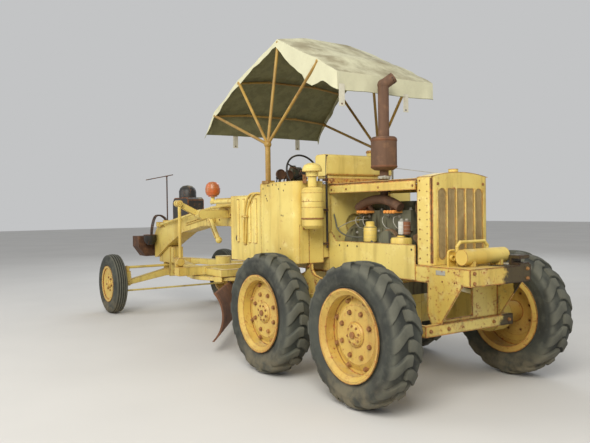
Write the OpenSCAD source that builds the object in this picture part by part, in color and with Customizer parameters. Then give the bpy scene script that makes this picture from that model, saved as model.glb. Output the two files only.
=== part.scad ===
// Motor grader with mechanical controls: arched frame, tandem rear wheels,
// leaning front wheels, gear-lifted blade and a cloth sun canopy.
// X runs forward, Y to the driver's left, Z up. Millimetres.
// Stations along X count from the tandem pivot, and mid_x centres the machine on its length.

/* [Ground line] */
// Tandem pivot to the front axle
wheelbase = 5800; // [5500:10:6100]
// Distance between the two rear wheels of one side
tandem_pitch = 1520; // [1400:10:1700]
// Middle of a rear tyre to the machine's centreline
rear_track_half = 1010; // [980:5:1080]
// Middle of a front tyre to the machine's centreline
front_track_half = 1070; // [1040:5:1120]

/* [Rear wheels] */
// Outside diameter over the lugs
rear_tyre_d = 1270; // [1200:10:1360]
// Width of the tyre
rear_tyre_w = 330; // [300:5:350]
// Diameter of the rim over its flange
rear_rim_d = 815; // [760:5:860]
// Height of the rim's flange over the tyre's seat
rear_flange = 40; // [30:1:46]
// Half the distance between the rim's two flanges
rear_seat_half = 132; // [124:1:138]
// Height of a lug
lug_h = 34; // [20:1:45]
// Width of a lug along the tread
lug_w = 120; // [90:1:130]
// Lugs in one row
lug_count = 16; // [12:1:20]
// Angle of a lug from straight across the tread
lug_angle = 30; // [20:1:35]

/* [Front wheels] */
// Outside diameter of the front tyre
front_tyre_d = 1000; // [940:10:1060]
// Width of the front tyre
front_tyre_w = 240; // [210:5:260]
// Diameter of the front rim over its flange
front_rim_d = 610; // [560:5:660]
// Height of the front rim's flange over the tyre's seat
front_flange = 30; // [22:1:36]
// Half the distance between the front rim's two flanges
front_seat_half = 86; // [80:1:92]

/* [Hubs] */
// Diameter of a rear wheel spindle
rear_spindle_d = 90; // [70:2:120]
// Diameter of a front wheel spindle
front_spindle_d = 60; // [44:2:80]
// Outer end of a rear spindle beyond the middle of the tyre
rear_spindle_out = 60; // [50:1:70]
// Clearance between a wheel and what stands behind it
wheel_gap = 5; // [5:0.5:8]
// Running clearance all round a spindle
spindle_gap = 0.05; // [0.02:0.01:0.1]
// Clearance between a tyre and its rim
bead_gap = 0.3; // [0.2:0.1:0.6]
// Face to face clearance of pieces that turn on each other
turn_gap = 0.3; // [0.2:0.1:0.6]

/* [Rear frame] */
// Rear face of the upper rear beam, behind the tandem pivot
rear_reach = 1440; // [1380:5:1500]
// Outside of a side rail to the centreline
rail_y = 400; // [370:5:430]
// Width of a side rail
rail_w = 64; // [40:2:90]
// Bottom of the side rails
rail_z = 1050; // [1020:5:1080]
// Height of the side rails
rail_h = 150; // [120:5:170]
// Front end of the side rails
rail_front = 1680; // [1660:5:1720]
// Length of a cross member along X
cross_l = 80; // [60:2:100]
// Length of the upper rear beam along X
rear_beam_l = 130; // [100:5:180]
// Half width of the lower rear bar
low_bar_half = 580; // [520:5:620]
// Height of the lower rear bar
low_bar_h = 100; // [80:5:130]
// Bottom of the lower rear bar
low_bar_z = 600; // [560:5:640]
// Rear face of the lower rear bar, behind the tandem pivot
low_bar_x = 1080; // [1040:5:1120]
// Radius of the rear hitch bore
hitch_r = 22; // [15:1:30]

/* [Axle and tandems] */
// Outside of a tandem case to the centreline
case_y = 800; // [780:2:820]
// Width of a tandem case
case_w = 180; // [140:5:220]
// Height of a tandem case at its ends
case_h = 330; // [280:5:380]
// Diameter of the rear axle housing
axle_d = 300; // [240:5:360]

/* [Engine] */
// Length of the engine block
engine_l = 900; // [800:10:960]
// Width of the engine block
engine_w = 420; // [360:10:480]
// Front face of the engine block, ahead of the tandem pivot
engine_x = 330; // [280:5:380]
// Bottom of the engine block on its cross members
engine_z = 1070; // [1060:2:1090]
// Top of the engine head
engine_top = 1700; // [1640:5:1740]

/* [Radiator and hood] */
// Rear face of the radiator shell, behind the tandem pivot
radiator_x = 990; // [960:5:1020]
// Length of the radiator shell along X
radiator_l = 180; // [150:5:220]
// Half width of the radiator shell
radiator_half = 380; // [350:5:395]
// Top of the radiator shell at its sides
radiator_top = 2000; // [1960:5:2040]
// Crown of the radiator shell over its sides
radiator_crown = 45; // [20:5:80]
// Slots in the grille
slot_count = 5; // [3:1:7]
// Width of a grille slot
slot_w = 92; // [70:1:100]
// Pitch of the grille slots
slot_pitch = 122; // [110:1:126]
// Bottom of the grille slots
slot_z = 1255; // [1230:5:1300]
// Top of the grille slots
slot_top = 1890; // [1850:5:1920]
// Top of the hood at its sides
hood_top = 1995; // [1970:5:2020]
// Depth of the hood's side flange
hood_flange = 108; // [80:2:140]
// Thickness of hood and side panels
sheet_t = 10; // [6:1:14]
// Front edge of the hood, ahead of the tandem pivot
hood_front = 500; // [460:5:540]
// Top of the engine side panels
side_panel_top = 1385; // [1340:5:1430]

/* [Tank, air cleaner and exhaust] */
// Rear face of the fuel tank, ahead of the tandem pivot
tank_x = 450; // [430:5:480]
// Depth of the fuel tank along X
tank_l = 210; // [180:5:240]
// Width of the fuel tank
tank_w = 920; // [840:10:980]
// Bottom of the fuel tank
tank_z = 2075; // [2050:5:2100]
// Height of the fuel tank
tank_h = 235; // [200:5:270]
// Diameter of the air cleaner
cleaner_d = 226; // [210:2:240]
// Middle of the air cleaner to the centreline
cleaner_y = 706; // [690:2:720]
// Middle of the exhaust behind the tandem pivot, as a place along X
muffler_x = -110; // [-140:5:-80]
// Middle of the exhaust to the centreline
muffler_y = 150; // [130:5:170]
// Diameter of the muffler
muffler_d = 264; // [230:2:300]
// Height of the muffler
muffler_h = 335; // [280:5:380]
// Diameter of the pipe below the muffler
neck_d = 92; // [80:2:100]
// Top of the exhaust riser's flange, under the hood
riser_top = 1900; // [1890:2:1910]
// Diameter of the exhaust pipe
pipe_d = 112; // [80:2:130]
// Bottom of the muffler
muffler_z = 2110; // [2080:5:2160]
// Height of the stack above the muffler
stack_h = 530; // [450:10:640]

/* [Operator's place] */
// Thickness of the platform's floor on the rails
floor_t = 16; // [12:1:20]
// Bottom of the cowls
cowl_z = 1150; // [1140:2:1170]
// Outside of the cowls to the centreline
cowl_y = 838; // [820:2:840]
// Rear face of the cowls
cowl_x = 500; // [490:2:520]
// Inner edge of the cowls' rear wall to the centreline
cowl_in = 480; // [460:5:500]
// Joint between cowl and fluted front panel
cowl_front = 1200; // [1180:5:1240]
// Top of the cowls
cowl_top = 2015; // [1980:5:2050]
// Radius of the cowls' rear corner
cowl_r = 70; // [50:5:90]
// Thickness of the cowl sheet
cowl_t = 12; // [8:1:14]
// Top of the wall behind the seat
back_wall_top = 1990; // [1980:2:2000]
// Outside of the fluted front panels to the centreline
panel_y = 818; // [810:1:820]
// Front end of the fluted front panels
panel_front = 1960; // [1900:10:2000]
// Top of the fluted front panels
panel_top = 1890; // [1850:5:1930]
// Middle of the seat along X
seat_x = 990; // [960:5:1020]
// Top of the seat pan
seat_z = 1640; // [1600:5:1680]
// Width of the control console
console_w = 600; // [540:10:640]
// Top of the control console
console_top = 1880; // [1850:5:1910]
// Diameter of the steering wheel
steer_wheel_d = 500; // [440:10:540]
// Lean of the steering wheel's axis from upright
wheel_tilt = 72; // [68:1:76]
// Length of the steering column
column_l = 280; // [270:5:290]
// Steering shaft to the centreline
shaft_y = 264; // [260:2:270]

/* [Canopy] */
// Diameter of a canopy tube
tube_d = 34; // [28:1:38]
// Diameter of the ball at each knee of a bow
knee_d = 38; // [36:1:42]
// Canopy posts along X
post_x = 1075; // [1050:5:1100]
// Canopy posts to the centreline
post_y = 812; // [800:1:820]
// Half width of the cloth at its rear edge
cloth_rear_half = 660; // [600:10:720]
// Half width of the cloth at its front edge
cloth_front_half = 880; // [820:10:940]
// Thickness of the cloth as a solid
cloth_t = 10; // [6:1:14]

/* [Main frame] */
// Width of the arched frame
frame_w = 270; // [220:5:320]
// Half width of the front box
nose_half = 420; // [380:10:460]
// Front face of the front box, ahead of the front axle
nose_reach = 820; // [780:10:860]

/* [Blade] */
// Length of the blade
blade_l = 3660; // [3400:10:3700]
// Height of the blade
blade_h = 580; // [520:5:620]
// Thickness of the blade
blade_t = 22; // [14:1:30]
// Clearance of the blade over the ground as parked
blade_z = 150; // [120:5:200]
// Angle of the blade away from straight across
blade_angle = 54; // [48:1:60]
// Outside diameter of the circle
circle_d = 1420; // [1300:10:1500]
// Depth of the circle's section along the radius
circle_w = 110; // [80:5:140]
// Height of the circle's section
circle_h = 50; // [40:2:70]
// Centre of the circle, ahead of the tandem pivot
circle_x = 3300; // [3250:10:3350]
// Teeth inside the circle
circle_teeth = 64; // [48:4:80]
// Length of a lift arm between its pins
lift_arm_l = 360; // [330:5:380]
// Upward slope of the lift arms as parked
lift_arm_a = 26; // [10:1:35]
// Lift shafts to the centreline
lift_shaft_y = 580; // [560:5:600]
// Height of the lift shafts
lift_shaft_z = 1670; // [1650:5:1700]
// Diameter of a lift shaft's pin
lift_pin_d = 60; // [50:2:70]

/* [Front axle] */
// Height of the front axle's middle
front_axle_z = 640; // [620:5:680]
// Diameter of the front axle's centre pin
axle_pin_d = 70; // [60:2:80]
// Thickness of the front axle along X
front_axle_t = 120; // [90:5:140]
// Lean pivot to the centreline
lean_y = 820; // [800:5:830]
// Kingpin to the centreline
kingpin_y = 935; // [925:5:945]
// Lean bar above the lean pivots
lean_bar_rise = 260; // [220:5:300]
// Length of a steering arm
steer_arm = 200; // [170:5:210]
// Diameter of the pins of the lean and steering links
link_pin_d = 24; // [16:1:30]
// Clearance round a pin at the open end of a linkage
open_gap = 1.5; // [1:0.1:3]
// Clearance round the tie rod's open pin
tie_gap = 12; // [9:0.5:14]
// Height of the drawbar's front ball
drawbar_ball_z = 1010; // [990:5:1020]
// Diameter of the drawbar's front ball
drawbar_ball_d = 110; // [90:2:130]
// Bottom of the drawbar
drawbar_z = 815; // [800:5:840]
// Height of the drawbar's beams
drawbar_h = 95; // [70:5:110]

/* [Hidden] */

front_tip = wheelbase + nose_reach;
mid_x = (front_tip - rear_reach) / 2;

rear_r = rear_tyre_d / 2;
front_r = front_tyre_d / 2;
case_in = case_y - case_w;
rail_top = rail_z + rail_h;
hood_y = rail_y;
drawbar_ball_x = wheelbase - 215;
front_hub_y = kingpin_y + 65;
lean_z = front_tyre_d / 2;
bend_swell = 1.08;
fn_round = 64;
fn_tyre = 24;
fn_small = 32;

paint = [0.86, 0.72, 0.34];
rust = [0.48, 0.30, 0.20];
black = [0.10, 0.10, 0.10];
rubber = [0.22, 0.23, 0.21];

// Rear wheels: [name number, side, place along X]
REAR_WHEELS = [[1, 1, tandem_pitch / 2], [2, 1, -tandem_pitch / 2],
               [3, -1, tandem_pitch / 2], [4, -1, -tandem_pitch / 2]];

// Rear ends of the cross members between the rails
CROSS_MEMBERS = [-560, 320, 900];

// Stations of the arched frame: [x, bottom z, top z]
gear_seat_z = 1440;
ARCH = [[1150, 1010, 1170], [1400, 1040, 1190], [1800, 1120, 1420], [2500, 1380, 1680], [3300, 1490, 1760],
    [4200, 1480, 1750], [5000, 1360, 1640], [5640, 1120, 1490], [5760, 1060, gear_seat_z],
    [6120, 890, gear_seat_z], [6250, 880, 1300]];

// Canopy bows from rear to front: [x, half width, z, rise of the middle, steepest slope of the cloth beside it]
BOWS = [[320, 660, 3240, 50, 33], [1040, 680, 3590, 60, 27], [1790, 770, 3255, 50, 35], [2280, 850, 2915, 40, 56]];

// The left knee of a bow, where its side turns into its middle
function bow_knee(b) = [b[0], b[1] * 0.45, b[2] + b[3]];

wheel_centre = [1570, 0, 2175];

module placed() { translate([-mid_x, 0, 0]) children(); }

// A round bar from point a to point b
module bar(a, b, d, fn = fn_small) {
    v = b - a;
    len = norm(v);
    translate(a) rotate([0, acos(v[2] / len), atan2(v[1], v[0])]) cylinder(d = d, h = len, $fn = fn);
}

// A round bar that stops short of both points by the given inset
module strut(a, b, d, inset) {
    u = (b - a) / norm(b - a);
    bar(a + u * inset, b - u * inset, d);
}

// A bent round bar through a list of points, with a ball at each bend a little proud of the bar
module bent_bar(points, d) {
    for (i = [0 : len(points) - 2]) bar(points[i], points[i + 1], d);
    if (len(points) > 2)
        for (i = [1 : len(points) - 2]) translate(points[i]) sphere(d = d * bend_swell, $fn = fn_small);
}

// A flat plate in the XZ plane, centred on y, from an outline of [x, z] points
module side_plate(outline, y, t) {
    translate([0, y + t / 2, 0]) rotate([90, 0, 0]) linear_extrude(t) polygon(outline);
}

// A block between two corners
module block(low, high) { translate(low) cube(high - low); }

// Both the left and the right of a pair
module pair() {
    children();
    mirror([0, 1, 0]) children();
}

// The given piece on the left, or its mirror image on the right
module on_side(side) { if (side > 0) children(); else mirror([0, 1, 0]) children(); }

// Wheel stations

module rear_tyre(side, x) {
    lug_len = rear_tyre_w * 0.42;
    lug_root = 25;
    carcass_r = rear_r - lug_h;
    bead_r = rear_rim_d / 2 - rear_flange + bead_gap;
    bead_half = rear_seat_half - bead_gap;
    half = rear_tyre_w / 2;
    color(rubber) placed() translate([x, side * rear_track_half, rear_r]) rotate([90, 0, 0]) {
        rotate_extrude($fn = fn_tyre) polygon([
            [bead_r, -bead_half], [rear_rim_d / 2 + 6, -bead_half], [carcass_r - 90, -half],
            [carcass_r, -half * 0.74], [carcass_r, half * 0.74], [carcass_r - 90, half],
            [rear_rim_d / 2 + 6, bead_half], [bead_r, bead_half]]);
        // Two rows of lugs in a chevron that points up at the back, their corners on the tyre's full radius
        for (row = [-1, 1], i = [0 : lug_count - 1])
            rotate([0, 0, -90 + (i + (row > 0 ? 0.5 : 0)) * 360 / lug_count])
                translate([carcass_r - lug_root, 0, row * rear_tyre_w * 0.22]) rotate([-row * lug_angle, 0, 0])
                    translate([0, -lug_w / 2, -lug_len / 2]) cube([lug_h + lug_root - 3, lug_w, lug_len]);
    }
}

module rear_rim(side, x) {
    rim_r = rear_rim_d / 2;
    seat_r = rim_r - rear_flange;
    half = rear_seat_half;
    hub_r = rear_spindle_d / 2 + spindle_gap;
    hub_back = case_y + wheel_gap - rear_track_half;
    cap_in = rear_spindle_out + 6;
    color(paint) placed() translate([x, side * rear_track_half, rear_r]) rotate([side > 0 ? -90 : 90, 0, 0])
        difference() {
            rotate_extrude($fn = fn_round) polygon([
                [hub_r, hub_back], [105, hub_back], [105, 40], [250, 40], [seat_r - 62, 10],
                [seat_r - 22, 10], [seat_r - 22, -half - 12], [rim_r, -half - 12],
                [rim_r, -half], [seat_r, -half], [seat_r, half], [rim_r - 26, half],
                [rim_r - 8, half + 16], [rim_r, half + 16], [rim_r, half + 30],
                [rim_r - 20, half + 30], [seat_r - 22, half - 6], [seat_r - 22, 32],
                [seat_r - 56, 32], [256, 62], [110, 62], [96, 82], [64, 96], [0, 96], [0, cap_in],
                [hub_r, cap_in]]);
            for (i = [0 : 7]) rotate([0, 0, i * 45 + 22.5]) translate([200, 0, 0])
                cylinder(d = 22, h = 200, center = true, $fn = 24);
        }
}

module front_tyre(side) {
    bead_r = front_rim_d / 2 - front_flange + bead_gap;
    bead_half = front_seat_half - bead_gap;
    w = front_tyre_w / 2;
    color(rubber) placed() translate([wheelbase, side * front_track_half, front_r]) rotate([90, 0, 0])
        rotate_extrude($fn = fn_tyre) polygon([
            [bead_r, -bead_half], [front_rim_d / 2 + 6, -bead_half], [front_r - 80, -w], [front_r - 14, -w * 0.66],
            [front_r, -w * 0.2], [front_r, w * 0.2], [front_r - 14, w * 0.66], [front_r - 80, w],
            [front_rim_d / 2 + 6, bead_half], [bead_r, bead_half]]);
}

module front_rim(side) {
    rim_r = front_rim_d / 2;
    seat_r = rim_r - front_flange;
    half = front_seat_half;
    hub_r = front_spindle_d / 2 + spindle_gap;
    hub_back = front_hub_y + wheel_gap - front_track_half;
    color(paint) placed() translate([wheelbase, side * front_track_half, front_r])
        rotate([side > 0 ? -90 : 90, 0, 0])
            rotate_extrude($fn = fn_round) polygon([
                [hub_r, hub_back], [62, hub_back], [62, 44], [150, 44], [seat_r - 40, 64],
                [seat_r - 14, 64], [seat_r - 14, -half - 8], [rim_r, -half - 8], [rim_r, -half],
                [seat_r, -half], [seat_r, half], [rim_r, half], [rim_r, half + 14],
                [seat_r - 14, half + 10], [seat_r - 14, 80], [seat_r - 44, 80], [152, 58],
                [74, 58], [60, 96], [30, 104], [0, 104], [0, 94], [hub_r, 84]]);
}

// Rear frame with its bumper

module rear_frame() {
    beam_x = -rear_reach;
    beam_front = beam_x + rear_beam_l;
    bar_x = -low_bar_x;
    bar_top = low_bar_z + low_bar_h;
    hitch_y = rail_y - 85;
    color(paint) placed() difference() {
        union() {
            pair() {
                block([beam_x, rail_y - rail_w, rail_z], [rail_front, rail_y, rail_top]);
                // Gusset from the upper beam down to the lower bar, and the plate ahead of it
                side_plate([[bar_x, rail_z + 20], [beam_front - 60, rail_z + 20], [bar_x - 30, bar_top],
                    [bar_x, bar_top]], rail_y - 8, 16);
                side_plate([[bar_x, rail_z + 20], [bar_x + 130, rail_z + 20], [bar_x + 130, 760],
                    [bar_x + 40, low_bar_z + 10], [bar_x, low_bar_z + 10]], rail_y - 10, 20);
                block([bar_x + 20, low_bar_half - 40, low_bar_z], [bar_x + 240, low_bar_half, bar_top]);
                // Stub that carries the rear of the arched frame
                block([1450, frame_w / 2 + turn_gap, rail_z + 10], [1650, rail_y - rail_w + 1, rail_top - 20]);
            }
            block([beam_x, -rail_y, rail_z], [beam_front, rail_y, rail_top]);
            block([beam_front - 1, -rail_y, rail_top - 24], [-radiator_x + 60, rail_y, rail_top]);
            block([bar_x, -rail_y, low_bar_z + 10], [bar_x + 20, rail_y, rail_top - 20]);
            block([bar_x - 25, -low_bar_half, low_bar_z], [bar_x + 25, low_bar_half, bar_top]);
            // Hitch jaws on the right of the upper beam
            for (z = [rail_top - 10, rail_top + 56])
                block([beam_x, -hitch_y - 65, z], [beam_x + 120, -hitch_y + 65, z + 30]);
            block([beam_x + 90, -hitch_y - 65, rail_top - 10], [beam_x + 120, -hitch_y + 65, rail_top + 86]);
            // Cross members under the engine and the platform
            for (x = CROSS_MEMBERS) block([x, -rail_y + 10, rail_z - 40],
                [x + cross_l, rail_y - 10, engine_z - turn_gap]);
        }
        // Crank opening in the rear plate
        block([bar_x - 40, -40, bar_top + 30], [bar_x + 60, 300, rail_z - 30]);
        translate([beam_x + 45, -hitch_y, rail_top - 40]) cylinder(r = hitch_r, h = 200, $fn = fn_small);
    }
}

module axle_housing() {
    color(paint) placed() {
        translate([0, 0, rear_r]) rotate([90, 0, 0])
            cylinder(d = axle_d, h = 2 * (case_in - turn_gap), center = true, $fn = fn_round);
        block([-260, -210, rear_r - 190], [300, 210, engine_z - turn_gap]);
        block([300 - 1, -150, rear_r - 60], [ARCH[0][0] - 5, 150, rail_z - 50]);
        pair() block([-120, 210 - 1, rear_r], [120, rail_y - 10, rail_z]);
    }
}

module tandem_cases() {
    reach = tandem_pitch / 2;
    color(paint) placed() pair() {
        for (x = [-reach, reach]) {
            translate([x, case_y, rear_r]) rotate([90, 0, 0]) cylinder(d = case_h, h = case_w, $fn = fn_round);
            translate([x, rear_track_half + rear_spindle_out, rear_r]) rotate([90, 0, 0])
                cylinder(d = rear_spindle_d, h = rear_track_half + rear_spindle_out + 1 - case_y, $fn = fn_round);
        }
        side_plate([[-reach, rear_r - case_h / 2], [reach, rear_r - case_h / 2],
            [reach, rear_r + case_h / 2], [260, rear_r + case_h / 2 + 60],
            [-260, rear_r + case_h / 2 + 60], [-reach, rear_r + case_h / 2]],
            case_y - case_w / 2, case_w);
    }
}

// Engine bay

module engine() {
    back = engine_x - engine_l;
    side = engine_w / 2;
    head = side - 40;
    color([0.45, 0.46, 0.38]) placed() {
        // Sump, block, head and rocker cover
        block([-470, -head, engine_z - 200], [-270, head, engine_z + 1]);
        block([back, -side, engine_z], [engine_x, side, 1520]);
        block([back + 60, -side + 60, 1520 - 1], [engine_x - 60, head, engine_top]);
        block([back + 100, -90, engine_top - 1], [engine_x - 100, 90, engine_top + 90]);
        // Fan hub and flywheel housing
        translate([back - 60, 0, 1560]) rotate([0, 90, 0]) cylinder(d = 120, h = 61, $fn = fn_small);
        translate([engine_x - 1, 0, 1330]) rotate([0, 90, 0]) cylinder(d = 480, h = 120, $fn = fn_round);
        // Oil filter, fuel filters, generator and pump on the left side
        translate([-30, side + 66, 1385]) cylinder(d = 130, h = 150, $fn = fn_small);
        block([-70, side - 1, 1400], [10, side + 66, 1500]);
        for (x = [-560, -490]) translate([x, side + 60, 1470]) cylinder(d = 66, h = 130, $fn = fn_small);
        block([-580, side - 1, 1500], [-470, side + 50, 1560]);
        translate([-290, side - 1, 1400]) rotate([-90, 0, 0]) cylinder(d = 200, h = 90, $fn = fn_small);
        translate([-480, side + 50, 1360]) cylinder(d = 170, h = 80, $fn = fn_small);
        block([-540, side - 1, 1300], [-420, side + 100, 1361]);
    }
}

module exhaust_manifold() {
    y = engine_w / 2 + 20;
    head = engine_w / 2 - 40 + turn_gap;
    port_z = 1700;
    arch_r = 640;
    arch_half = 30;
    log_d = 92;
    arch_z = 1812 - arch_r;
    elbow_z = riser_top - 60;
    color(rust) placed() {
        // Log along the engine, arched over the ports
        translate([muffler_x, y, arch_z]) rotate([90, 0, 0]) rotate([0, 0, 90 - arch_half])
            rotate_extrude(angle = 2 * arch_half, $fn = fn_round) translate([arch_r, 0]) circle(d = log_d, $fn = fn_small);
        for (x = [-250, -170, 170, 250])
            bar([muffler_x + x, head, port_z], [muffler_x + x, y - 4, arch_z + sqrt(arch_r * arch_r - x * x) - 8], 54);
        // Riser with its flange under the hood
        strut([muffler_x, y, arch_z + arch_r], [muffler_x, muffler_y, elbow_z], 74, 12);
        translate([muffler_x, muffler_y, elbow_z]) sphere(d = 92, $fn = fn_small);
        translate([muffler_x, muffler_y, elbow_z + 5]) cylinder(d = 82, h = riser_top - elbow_z - 5, $fn = fn_small);
        translate([muffler_x, muffler_y, riser_top - 14]) cylinder(d = 130, h = 14, $fn = fn_small);
    }
}

module radiator_shell() {
    r = 55;
    half = radiator_half;
    back = -radiator_x;
    front = back + radiator_l;
    wall = 14;
    color(paint) placed() {
        difference() {
            union() {
                block([back + r, -half, rail_top], [front, half, radiator_top]);
                block([back, -half + r, rail_top], [front, half - r, radiator_top]);
                pair() translate([back + r, half - r, rail_top]) cylinder(r = r, h = radiator_top - rail_top,
                    $fn = fn_small);
                // Crowned cap
                intersection() {
                    block([back, -half + 10, radiator_top - 1], [front, half - 10, radiator_top + radiator_crown]);
                    crown_r = (half * half + radiator_crown * radiator_crown) / (2 * radiator_crown);
                    translate([back - 1, 0, radiator_top + radiator_crown - crown_r]) rotate([0, 90, 0])
                        cylinder(r = crown_r, h = radiator_l + 2, $fn = 128);
                }
            }
            block([back + wall, -half + wall, rail_top + 20], [front + 1, half - wall, radiator_top - wall]);
            for (i = [0 : slot_count - 1]) {
                y = (i - (slot_count - 1) / 2) * slot_pitch;
                edge = i == 0 || i == slot_count - 1;
                top = edge ? slot_top - slot_w / 2 : slot_top;
                low = edge ? slot_z + slot_w / 2 : slot_z;
                block([back - 1, y - slot_w / 2, low], [back + wall + 1, y + slot_w / 2, top]);
                if (edge) for (z = [low, top]) translate([back - 1, y, z]) rotate([0, 90, 0])
                    cylinder(d = slot_w, h = wall + 2, $fn = fn_small);
            }
        }
        // Filler neck and cap
        translate([back + 90, 0, radiator_top + radiator_crown - 8]) cylinder(d = 90, h = 40, $fn = fn_small);
    }
}

module radiator_core() {
    wall = 14;
    color([0.40, 0.34, 0.25]) placed()
        block([-radiator_x + 30, -radiator_half + wall + 0.3, rail_top + 20.3],
            [-radiator_x + radiator_l - 30, radiator_half - wall - 0.3, radiator_top - wall - 0.3]);
}

module hood() {
    back = -radiator_x + radiator_l + turn_gap;
    r = 45;
    color(paint) placed() difference() {
        union() {
            block([back, -hood_y + r, hood_top - hood_flange], [hood_front, hood_y - r, hood_top]);
            block([back, -hood_y, hood_top - hood_flange], [hood_front, hood_y, hood_top - r]);
            pair() translate([back, hood_y - r, hood_top - r]) rotate([0, 90, 0])
                cylinder(r = r, h = hood_front - back, $fn = fn_small);
        }
        block([back - 1, -hood_y + sheet_t, hood_top - hood_flange - 1],
            [hood_front - sheet_t, hood_y - sheet_t, hood_top - sheet_t]);
        translate([muffler_x, muffler_y, hood_top - 60]) cylinder(d = neck_d + 8, h = 100, $fn = fn_small);
    }
}

module engine_sides() {
    back = -radiator_x + radiator_l + turn_gap;
    front = hood_front;
    color(paint) placed() pair() {
        side_plate([[back, rail_z + 10], [front, rail_z + 10], [front, side_panel_top + 85],
            [front - 60, side_panel_top + 85], [front - 130, side_panel_top], [back, side_panel_top]],
            rail_y + sheet_t / 2 + turn_gap, sheet_t);
    }
}

module bulkhead() {
    top = hood_top - hood_flange + 60;
    front = hood_front - sheet_t - turn_gap;
    side = hood_y - sheet_t - turn_gap;
    color(paint) placed() difference() {
        block([front - 14, -side, rail_top], [front, side, top]);
        translate([front - 50, 70, 1545]) rotate([0, 90, 0]) cylinder(d = 240, h = 100, $fn = fn_round);
    }
}

module fuel_tank() {
    r = 40;
    saddle = 24;
    color(paint) placed() translate([tank_x, 0, 0]) {
        block([0, -tank_w / 2, tank_z + r], [tank_l, tank_w / 2, tank_z + tank_h - r]);
        block([r, -tank_w / 2, tank_z], [tank_l - r, tank_w / 2, tank_z + tank_h]);
        for (x = [r, tank_l - r], z = [tank_z + r, tank_z + tank_h - r])
            translate([x, 0, z]) rotate([90, 0, 0]) cylinder(r = r, h = tank_w, center = true, $fn = fn_small);
        // Saddle, its legs down to the wall behind the seat, and the filler neck
        block([20, -tank_w / 2 + 20, tank_z - saddle], [tank_l - 20, tank_w / 2 - 20, tank_z + 1]);
        for (y = [-300, 300]) block([60, y - 30, back_wall_top + turn_gap], [tank_l - 40, y + 30, tank_z - saddle + 1]);
        translate([tank_l / 2, -250, tank_z + tank_h - 1]) cylinder(d = 110, h = 40, $fn = fn_small);
    }
}

module muffler_stack() {
    top = muffler_z + muffler_h + stack_h;
    bend = [0, 55, -125];
    color(rust) placed() translate([muffler_x, muffler_y, 0]) {
        translate([0, 0, riser_top + turn_gap]) cylinder(d = neck_d, h = muffler_z - riser_top + 1, $fn = fn_small);
        translate([0, 0, hood_top + 20]) cylinder(d = neck_d + 26, h = 34, $fn = fn_small);
        rotate_extrude($fn = fn_round) polygon([[0, muffler_z], [muffler_d / 2 - 34, muffler_z],
            [muffler_d / 2, muffler_z + 22], [muffler_d / 2, muffler_z + muffler_h - 14],
            [muffler_d / 2 - 16, muffler_z + muffler_h], [0, muffler_z + muffler_h]]);
        translate([0, 0, muffler_z + muffler_h - 1]) cylinder(d = pipe_d, h = stack_h, $fn = fn_small);
        // Angled outlet
        translate([0, 0, top]) sphere(d = pipe_d * bend_swell, $fn = fn_small);
        translate([0, 0, top]) rotate(bend) difference() {
            cylinder(d = pipe_d, h = 130, $fn = fn_small);
            translate([0, 0, 70]) cylinder(d = pipe_d - 14, h = 100, $fn = fn_small);
        }
    }
}

module air_cleaner() {
    r = cleaner_d / 2;
    x = cowl_x - r - 11;
    y = cleaner_y;
    color(paint) placed() {
        translate([x, y, 0]) {
            // Cup, body and neck
            rotate_extrude($fn = fn_round) polygon([[0, 1520], [r - 30, 1520], [r - 4, 1550], [r - 4, 1618],
                [r + 3, 1618], [r + 3, 1632], [r, 1632], [r, 1920], [r - 24, 1945], [46, 1950], [46, 2060], [0, 2060]]);
            // Bowl and dome of the pre-cleaner
            rotate_extrude($fn = fn_round) polygon([[0, 2058], [62, 2058], [66, 2110], [102, 2112],
                [102, 2140], [84, 2176], [46, 2196], [0, 2202]]);
        }
        for (z = [1680, 1850]) block([x, y - 60, z], [cowl_x - turn_gap, y + 60, z + 40]);
    }
}

// Operator's place

module platform() {
    front = panel_front - cowl_t - turn_gap;
    wall_x = cowl_x + cowl_t + turn_gap;
    side = cowl_y - cowl_t - turn_gap;
    panel_side = panel_y - cowl_t - turn_gap;
    slot = frame_w / 2 + 10;
    color(paint) placed() difference() {
        union() {
            translate([0, 0, rail_top]) linear_extrude(floor_t) polygon([
                [wall_x, -side + cowl_r + 20], [wall_x + cowl_r + 20, -side], [cowl_front, -side],
                [cowl_front, -panel_side], [front, -panel_side], [front, panel_side], [cowl_front, panel_side],
                [cowl_front, side], [wall_x + cowl_r + 20, side], [wall_x, side - cowl_r - 20]]);
            // Front wall, with its middle raised behind the console
            block([front - floor_t, -panel_side + 180, rail_top], [front, panel_side - 180, 1520]);
            block([front - floor_t, -console_w / 2, 1519], [front, console_w / 2, console_top]);
            // Wall behind the seat
            block([wall_x, -cowl_in - 60, rail_top], [wall_x + floor_t, cowl_in + 60, back_wall_top]);
        }
        block([1380, -slot, rail_top - 1], [front + 1, slot, 1490]);
    }
}

module cowl_outline() {
    l = cowl_front - cowl_x;
    w = cowl_y - cowl_in;
    translate([cowl_x, cowl_in]) difference() {
        union() {
            square([l, w - cowl_r]);
            translate([cowl_r, 0]) square([l - cowl_r, w]);
            translate([cowl_r, w - cowl_r]) circle(r = cowl_r, $fn = fn_round);
        }
        translate([cowl_t, -1]) square([l, w - cowl_r + 1]);
        translate([cowl_r, -1]) square([l, w - cowl_t + 1]);
        translate([cowl_r, w - cowl_r]) circle(r = cowl_r - cowl_t, $fn = fn_round);
    }
}

module cowls() {
    color(paint) placed() pair() translate([0, 0, cowl_z]) linear_extrude(cowl_top - cowl_z) cowl_outline();
}

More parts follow.
